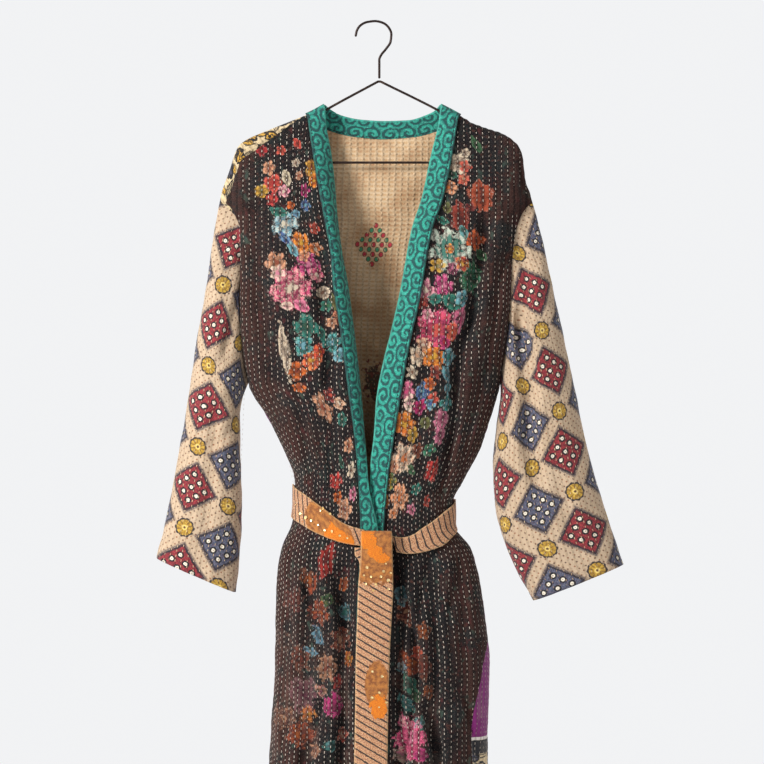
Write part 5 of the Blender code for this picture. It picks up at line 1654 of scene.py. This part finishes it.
BAND_BEND = 0.42        # how far along its width the band goes on in the cloth's own direction
band_rows = spaced(1.03, 1.6, 60) + spaced(1.6, 3, 170)[1:]
lines = [band_line(-1, w) for w in reversed(band_rows)]
lines += [neck_line(t) for t in spaced(0, 1, 90)]
lines += [band_line(1, w) for w in band_rows]
shares = spaced(0, 1, 13)
grid = []
for seam, away, free, out in lines:
    start = seam - away * LAP + out * 0.5
    bend = start + away * (free - start).length * BAND_BEND
    grid.append([(1 - b) ** 2 * start + 2 * b * (1 - b) * bend + b * b * free for b in shares])
band = Cloth(grid, (0, -1, 0))
# Its rows are level, so the print is measured square to the way that the seam runs.
seam = band.points[:, 0]
runs = np.gradient(seam, axis=0)
runs = np.stack([
    np.convolve(np.pad(runs[:, c], 5, mode="edge"), np.ones(11) / 11, mode="valid") for c in range(3)
], axis=1)
runs /= np.linalg.norm(runs, axis=1, keepdims=True)
away_from_seam = band.points - seam[:, None]
slip = (away_from_seam * runs[:, None]).sum(axis=2)
square_to_seam = np.sqrt(np.maximum((away_from_seam**2).sum(axis=2) - slip**2, 0.0))
band.measure(square_to_seam, lengths(band.points, 0)[:, :1] + slip)


def mark(cloth, name, values):
    """A number for each corner of a piece's faces."""
    made = cloth.thing.data.attributes.new(name, "FLOAT", "CORNER")
    made.data.foreach_set("value", cloth.at_corners(values).astype(np.float32).ravel())


teal_cotton = Finish("teal_scroll_print", 0.88, sheen=0.08)
across, down = millimetres(teal_cotton)
flat = teal_cotton.at(across, down)
fray = teal_cotton.noise(flat, 0.3, 3.0, output=1)
fray_x, fray_y = teal_cotton.two_of(fray)
CURL_WIDE, CURL_LONG = 17.0, 27.0       # room of one curl of the print, across and along
column = (across / CURL_WIDE).math("FLOOR")
along = down / CURL_LONG + column * 0.5
row = along.math("FLOOR")
spin = abs((column + row) % 2.0) * 2 - 1
x = (across / CURL_WIDE - column - 0.5) * CURL_WIDE + (fray_x - 0.5) * 5
y = (along - row - 0.5) * CURL_LONG + (fray_y - 0.5) * 5
far = (x * x + y * y * 0.42).math("SQRT")
angle = y.math("ARCTAN2", x) * spin
lines_value = (far * 0.95 + angle).math("SINE")
dark = lines_value.rise(-0.05, 0.4)
patchy = teal_cotton.noise(flat, 0.12, 4.0).rise(0.35, 0.65)
teal = teal_cotton.mix(patchy, rgb(38, 160, 138), rgb(24, 120, 106))
colour = teal_cotton.mix(dark * 0.92, teal, rgb(14, 62, 64))
dots = lines_value.rise(-0.82, -0.95) * teal_cotton.noise(flat, 0.6, 2.0).rise(0.5, 0.6)
colour = teal_cotton.mix(dots * 0.6, colour, rgb(110, 200, 182))
free_edge = teal_cotton.carried("edge", "Fac")
# Lighter along the folded free edge, and darker along the seam: painted shade where the band meets the cloth.
colour = teal_cotton.mix(free_edge.rise(0.90, 0.96) * 0.5, colour, rgb(80, 188, 166))
colour = teal_cotton.mix(free_edge.rise(0.10, 0.04) * 0.8, colour, rgb(14, 44, 46))
stitched = abs((down / 5.0).math("FRACT") - 0.5).rise(0.32, 0.24)
colour = teal_cotton.mix(stitched * abs(free_edge - 0.13).rise(0.035, 0.018) * 0.9, colour, rgb(10, 40, 44))
threads = weave(teal_cotton, across, down, 0.5)
# Painted shade between the threads of the weave, and a painted highlight on them.
colour = teal_cotton.blended(colour, teal_cotton.mix(threads * 0.4, (1.1, 1.1, 1.1), (0.5, 0.52, 0.52)))
fold = abs(free_edge - 0.13).rise(0.05, 0.0)
scroll_print = teal_cotton.paint(colour, None, threads * 0.5 - fold * 1.4 + lines_value * 0.12, 0.0006)

BAND_CLOTH = 2.6        # two layers of the teal cotton
band_thing = band.put_together("teal_neck_band", BAND_CLOTH, [scroll_print, scroll_print])
mark(band, "edge", band.across / np.maximum(band.across[:, -1:], 1))
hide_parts("neck_band")


# The belt: a long strip of the peach striped cloth, folded double, once round the waist over both fronts,
# tied in front with one end hanging long and one short behind it.
BELT_CLOTH = 2.4
BELT_GAP = 1.8         # between the coat and the belt

# The belt's front tail, from over the knot down: height, left and right edge, and place in front.
TAIL = [
    (746, -19, 22, 66), (744, -20, 23, 71), (745.5, -21, 24, 76), (751, -21, 24.5, 79), (775, -21, 25, 80),
    (795, -22, 25.5, 79.5), (815, -24, 26, 79), (831, -25, 26, 80.5), (868, -26, 24, 85),
    (924, -28, 21, 89.7), (1000, -29, 19, 93), (1058, -30, 18, 95), (1100, -31, 17, 95.8),
    (1150, -32, 16, 96), (1258, -33, 15, 97),
]

# The belt's second end, which hangs behind the first.
SECOND_END = [
    (769, -30, 8), (778, -30, 9), (790, -23, 14), (850, -22, 20), (1000, -24, 16), (1090, -26, 12),
]
TAIL_BY_STEP = [(n, *row) for n, row in enumerate(TAIL)]
KNOT_TOP, KNOT_END = 748.5, 788.0


def body_point(angle, low):
    """The body's plain outer surface under the arms, without folds."""
    x, ahead = around(angle, low)
    return x, -depth_at(low, angle) * ahead, -low


def belt_surface(angle, offset):
    turned = (angle + 180) % 360 - 180
    half = read(BELT_FRONT, turned, 2) if abs(turned) <= 90 else 21.0
    low = belt_low(turned) + half * offset
    spot = Vector(body_point(turned, low))
    step = Vector(body_point(turned + 0.5, low)) - Vector(body_point(turned - 0.5, low))
    out = Vector((-step.y, step.x, 0)).normalized()
    if out.dot(Vector((spot.x, spot.y, 0))) < 0:
        out = -out
    return spot + out * (BELT_GAP + BELT_CLOTH + 0.8 * (1 - offset * offset)), out


STRAP_CROWN = 1.2       # how far a hanging end stands out in its middle


def strap(rows, columns):
    """A hanging end of the belt, from rows of height, left edge, right edge and place in front."""
    grid = []
    for low, left, right, front in rows:
        grid.append([
            (left + (right - left) * t, -front - STRAP_CROWN * math.sin(math.pi * t), -low)
            for t in spaced(0, 1, columns)
        ])
    return Cloth(grid, (0, -1, 0))


WRAP_START, WRAP_TURN, WRAP_COLUMNS = -3, 349, 360      # in degrees, from the knot round to it again
wrap_angles = [WRAP_START - WRAP_TURN * n / (WRAP_COLUMNS - 1) for n in range(WRAP_COLUMNS)]
wrap = Cloth([[belt_surface(a, b)[0] for a in wrap_angles] for b in spaced(-1, 1, 17)], (0, 0, 0))
wrap.toward = wrap.points[8, WRAP_COLUMNS // 2] * (1, 1, 0)
wrap.measure(lengths(wrap.points, 1), lengths(wrap.points, 0))
tail_rows = [tuple(read(TAIL_BY_STEP, n, c) for c in range(1, 5)) for n in spaced(0, len(TAIL) - 1, 150)]
tail = strap(tail_rows, 15)
tail.measure(lengths(tail.points, 1), lengths(tail.points, 0))
second_rows = [
    (low, read(SECOND_END, low, 1), read(SECOND_END, low, 2), depth_at(low, 0) + BELT_GAP + BELT_CLOTH)
    for low in spaced(SECOND_END[0][0], SECOND_END[-1][0], 90)
]
second = strap(second_rows, 9)
second.measure(lengths(second.points, 1), lengths(second.points, 0))

striped = Finish("peach_striped_cotton", 0.86, sheen=0.08)
across, down = millimetres(striped)
flat = striped.at(across, down)
slant, brown, splash = (striped.carried(name, "Fac") for name in ("slant", "brown", "splash"))
fuzz = striped.noise(flat, 0.16, 5.0) - 0.5
mottle = striped.noise(flat, 0.5, 4.0)
ground = striped.mix(mottle.rise(0.35, 0.65), rgb(212, 156, 106), rgb(142, 78, 48))
ground = striped.mix(striped.noise(flat, 1.1, 2.0).rise(0.52, 0.62) * 0.75, ground, rgb(238, 214, 180))
ground = striped.mix(striped.noise(flat, 0.8, 3.0).rise(0.45, 0.36) * 0.6, ground, rgb(126, 62, 38))
STRIPE = 10.6
wave = (slant * 1000 / STRIPE + fuzz * 0.3).math("FRACT") - 0.5
stripe = abs(wave).rise(0.15, 0.09)
ground = striped.mix(stripe * 0.95, ground, rgb(34, 26, 28))
gold = striped.mix(striped.noise(flat, 0.16, 4.0).rise(0.35, 0.65), rgb(184, 116, 50), rgb(132, 74, 32))
gold = striped.mix(striped.noise(flat, 0.9, 2.0).rise(0.58, 0.7) * 0.5, gold, rgb(214, 168, 92))
colour = striped.mix((brown + fuzz * 0.7).rise(0.42, 0.52), ground, gold)
streaks = striped.noise(striped.at(across * 0.4, down * 2.4), 1.0, 2.0).rise(0.4, 0.6)
orange = striped.mix(streaks, rgb(248, 150, 14), rgb(224, 104, 6))
splashed = (splash + fuzz * 2.2).rise(0.42, 0.56)
colour = striped.mix(splashed, colour, orange)
# A pale line along the belt's edges, partly a paler edge of the cloth and partly a painted highlight.
rim = striped.carried("rim", "Fac")
colour = striped.mix(rim.rise(2.2, 1.0) * 0.28, colour, rgb(232, 196, 140))
threads = weave(striped, across, down, 0.6)
# Painted shade between the threads of the weave, and a painted highlight on them.
colour = striped.blended(colour, striped.mix(threads * 0.4, (1.1, 1.1, 1.1), (0.52, 0.5, 0.48)))
silk = striped.noise(striped.at(across * 0.5, down * 3.0), 1.0, 1.0)
stripe_print = striped.paint(colour, None, threads * 0.5 + splashed * silk * 1.6, 0.0006)


def patch(across, down, spots):
    """How near each point is to one of some oval patches: 1 in the middle, 0 outside."""
    total = np.zeros_like(across)
    for u, v, half_u, half_v in spots:
        off = np.hypot((across - u) / half_u, (down - v) / half_v)
        total = np.maximum(total, np.clip(1.0 - 0.5 * off**3, 0, 1))
    return total


# How the stripes run on each part (across, down), and its brown and orange patches: place across and
# down the cloth and half sizes.
BELT_PRINT = {
    "belt_wrap": (
        (1.0, 0.3), [(58, 24, 42, 34)],
        [(31, 25, 15, 13), (45, 21, 13, 12), (19, 33, 12, 9), (56, 31, 9, 7)],
    ),
    "belt_tail": (
        (-0.58, 1.0), [(25, 26, 60, 60), (31, 232, 17, 34)],
        [(9, 7, 12, 12), (10, 24, 12, 12), (20, 40, 12, 9), (31, 50, 11, 7), (34, 264, 13, 17)],
    ),
    "belt_second_end": ((0.4, 1.0), [(20, 60, 16, 20)], [(24, 62, 7, 8)]),
}

for cloth, name, node, flat in (
    (wrap, "belt_round_the_waist", "belt_wrap", (0.042, 0.58)),
    (tail, "belt_long_end", "belt_tail", (0.05, 0.525)),
    (second, "belt_short_end", "belt_second_end", (0.042, 0.325)),
):
    thing = cloth.put_together(name, BELT_CLOTH, [stripe_print, stripe_print])
    slope, brown_spots, splash_spots = BELT_PRINT[node]
    mark(cloth, "slant", (cloth.across * slope[0] + cloth.down * slope[1]) * MM)
    mark(cloth, "brown", patch(cloth.across, cloth.down, brown_spots))
    mark(cloth, "splash", patch(cloth.across, cloth.down, splash_spots))
    run = cloth.down if node == "belt_wrap" else cloth.across
    full = run.max(axis=0, keepdims=True) if node == "belt_wrap" else run.max(axis=1, keepdims=True)
    mark(cloth, "rim", np.minimum(run, full - run))
    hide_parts(node)


DISC_SIDES = 10


def sequins(cloth, name, spots, seed):
    """Small cupped discs, sewn flat on a cloth at places of the photograph, with a little chance in each."""
    dice = np.random.default_rng(seed)
    flat = in_photo(cloth.points.reshape(-1, 3))
    ways = cloth.normals().reshape(-1, 3)
    verts, faces = [], []
    for px, py, half_disc in spots:
        half_disc *= dice.uniform(0.95, 1.2)
        k = int(np.argmin(np.hypot(flat[:, 0] - px, flat[:, 1] - py) + np.where(ways[:, 1] < 0.1, 0, 400)))
        way = ways[k] + dice.uniform(-0.25, 0.25, 3)
        way /= np.linalg.norm(way)
        side_way = np.cross(way, (0.0, 0.0, 1.0))
        side_way /= np.linalg.norm(side_way)
        up_way = np.cross(way, side_way)
        middle_of_disc = cloth.points.reshape(-1, 3)[k] + ways[k] * 0.5
        first = len(verts)
        for share, lift in ((0.22, 0.35), (0.7, 0.0), (1.0, 0.45)):
            for n in range(DISC_SIDES):
                turn = 2 * math.pi * n / DISC_SIDES
                out = side_way * math.cos(turn) + up_way * math.sin(turn)
                verts.append(middle_of_disc + out * half_disc * share + way * lift)
        for ring in range(2):
            for n in range(DISC_SIDES):
                m = (n + 1) % DISC_SIDES
                at = first + ring * DISC_SIDES
                faces.append((at + n, at + m, at + DISC_SIDES + m, at + DISC_SIDES + n))
        faces.append(tuple(first + n for n in reversed(range(DISC_SIDES))))
    made = piece(name, verts, faces, [sequin_gold])


sequin = Finish("pale_gold_sequin", 0.28, metallic=0.6)
where = sequin.on_object()
shine = sequin.noise(where, 420.0, 2.0).rise(0.35, 0.65)
gold = sequin.mix(shine, rgb(244, 220, 164), rgb(208, 166, 96))
sequin_gold = sequin.paint(gold, 0.22 + 0.2 * shine, shine, 0.0001)
# Places in the photograph and half widths, in millimetres.
WRAP_SEQUINS = [
    (301, 513, 2.2), (306.5, 517, 2.4), (312, 520.5, 2.2), (318.5, 525, 1.9), (321, 510, 1.9),
    (323, 508.5, 1.7), (325, 531, 1.7), (332, 531, 1.9), (339, 536, 1.6),
    (347, 538, 1.6), (296, 505, 1.6), (335, 507, 1.5),
]
TAIL_SEQUINS = [
    (367, 568, 2.0), (383, 571, 2.2), (381, 577, 2.0), (387, 580, 2.4), (372, 577, 1.7), (365, 584, 1.7),
    (376, 584, 1.8), (389, 589, 1.8), (390, 573, 1.5), (364, 575, 1.5), (386, 563, 1.4), (374, 590, 1.5),
    (373, 674, 1.6), (383, 679, 1.8), (378, 690, 1.7), (372, 700, 1.8), (386, 703, 1.6), (379, 709, 1.5),
]
sequins(wrap, "sequins_of_belt_wrap", WRAP_SEQUINS, 41)
sequins(tail, "sequins_of_belt_end", TAIL_SEQUINS, 42)

# The knot: a pleated lump of the same cloth behind the top of the long end, which hides most of it.
KNOT_MIDDLE, KNOT_HALF, KNOT_PLEATS = (2, -70.7), (20.5, 6.2), 5
knot_verts, knot_faces = [], []
knot_levels, knot_round = spaced(0, 1, 25), 40
for level in knot_levels:
    fill = math.sqrt(max(1 - (2 * level - 1) ** 4, 0.12))
    low = KNOT_TOP + (KNOT_END - KNOT_TOP) * level
    for n in range(knot_round):
        turn = 2 * math.pi * n / knot_round
        pleat = 1 + 0.05 * math.sin(turn * KNOT_PLEATS + level * 4)
        knot_verts.append((
            KNOT_MIDDLE[0] + KNOT_HALF[0] * fill * pleat * round_part(math.sin(turn), 0.8),
            KNOT_MIDDLE[1] - KNOT_HALF[1] * fill * pleat * round_part(math.cos(turn), 0.8), -low,
        ))
for i in range(len(knot_levels) - 1):
    for n in range(knot_round):
        m = (n + 1) % knot_round
        above, below = i * knot_round, (i + 1) * knot_round
        knot_faces.append((above + n, below + n, below + m, above + m))
knot_faces.append(tuple(range(knot_round)))
knot_faces.append(tuple((len(knot_levels) - 1) * knot_round + n for n in reversed(range(knot_round))))
knot = piece("belt_knot_of_folded_cloth", knot_verts, knot_faces, [stripe_print])
knot_map = knot.data.uv_layers.new(name="cloth")
knot_at = np.array([knot_verts[v] for face in knot_faces for v in face])[:, [0, 2]] * MM
knot_map.data.foreach_set("uv", knot_at.astype(np.float32).ravel())
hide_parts("belt_knot")
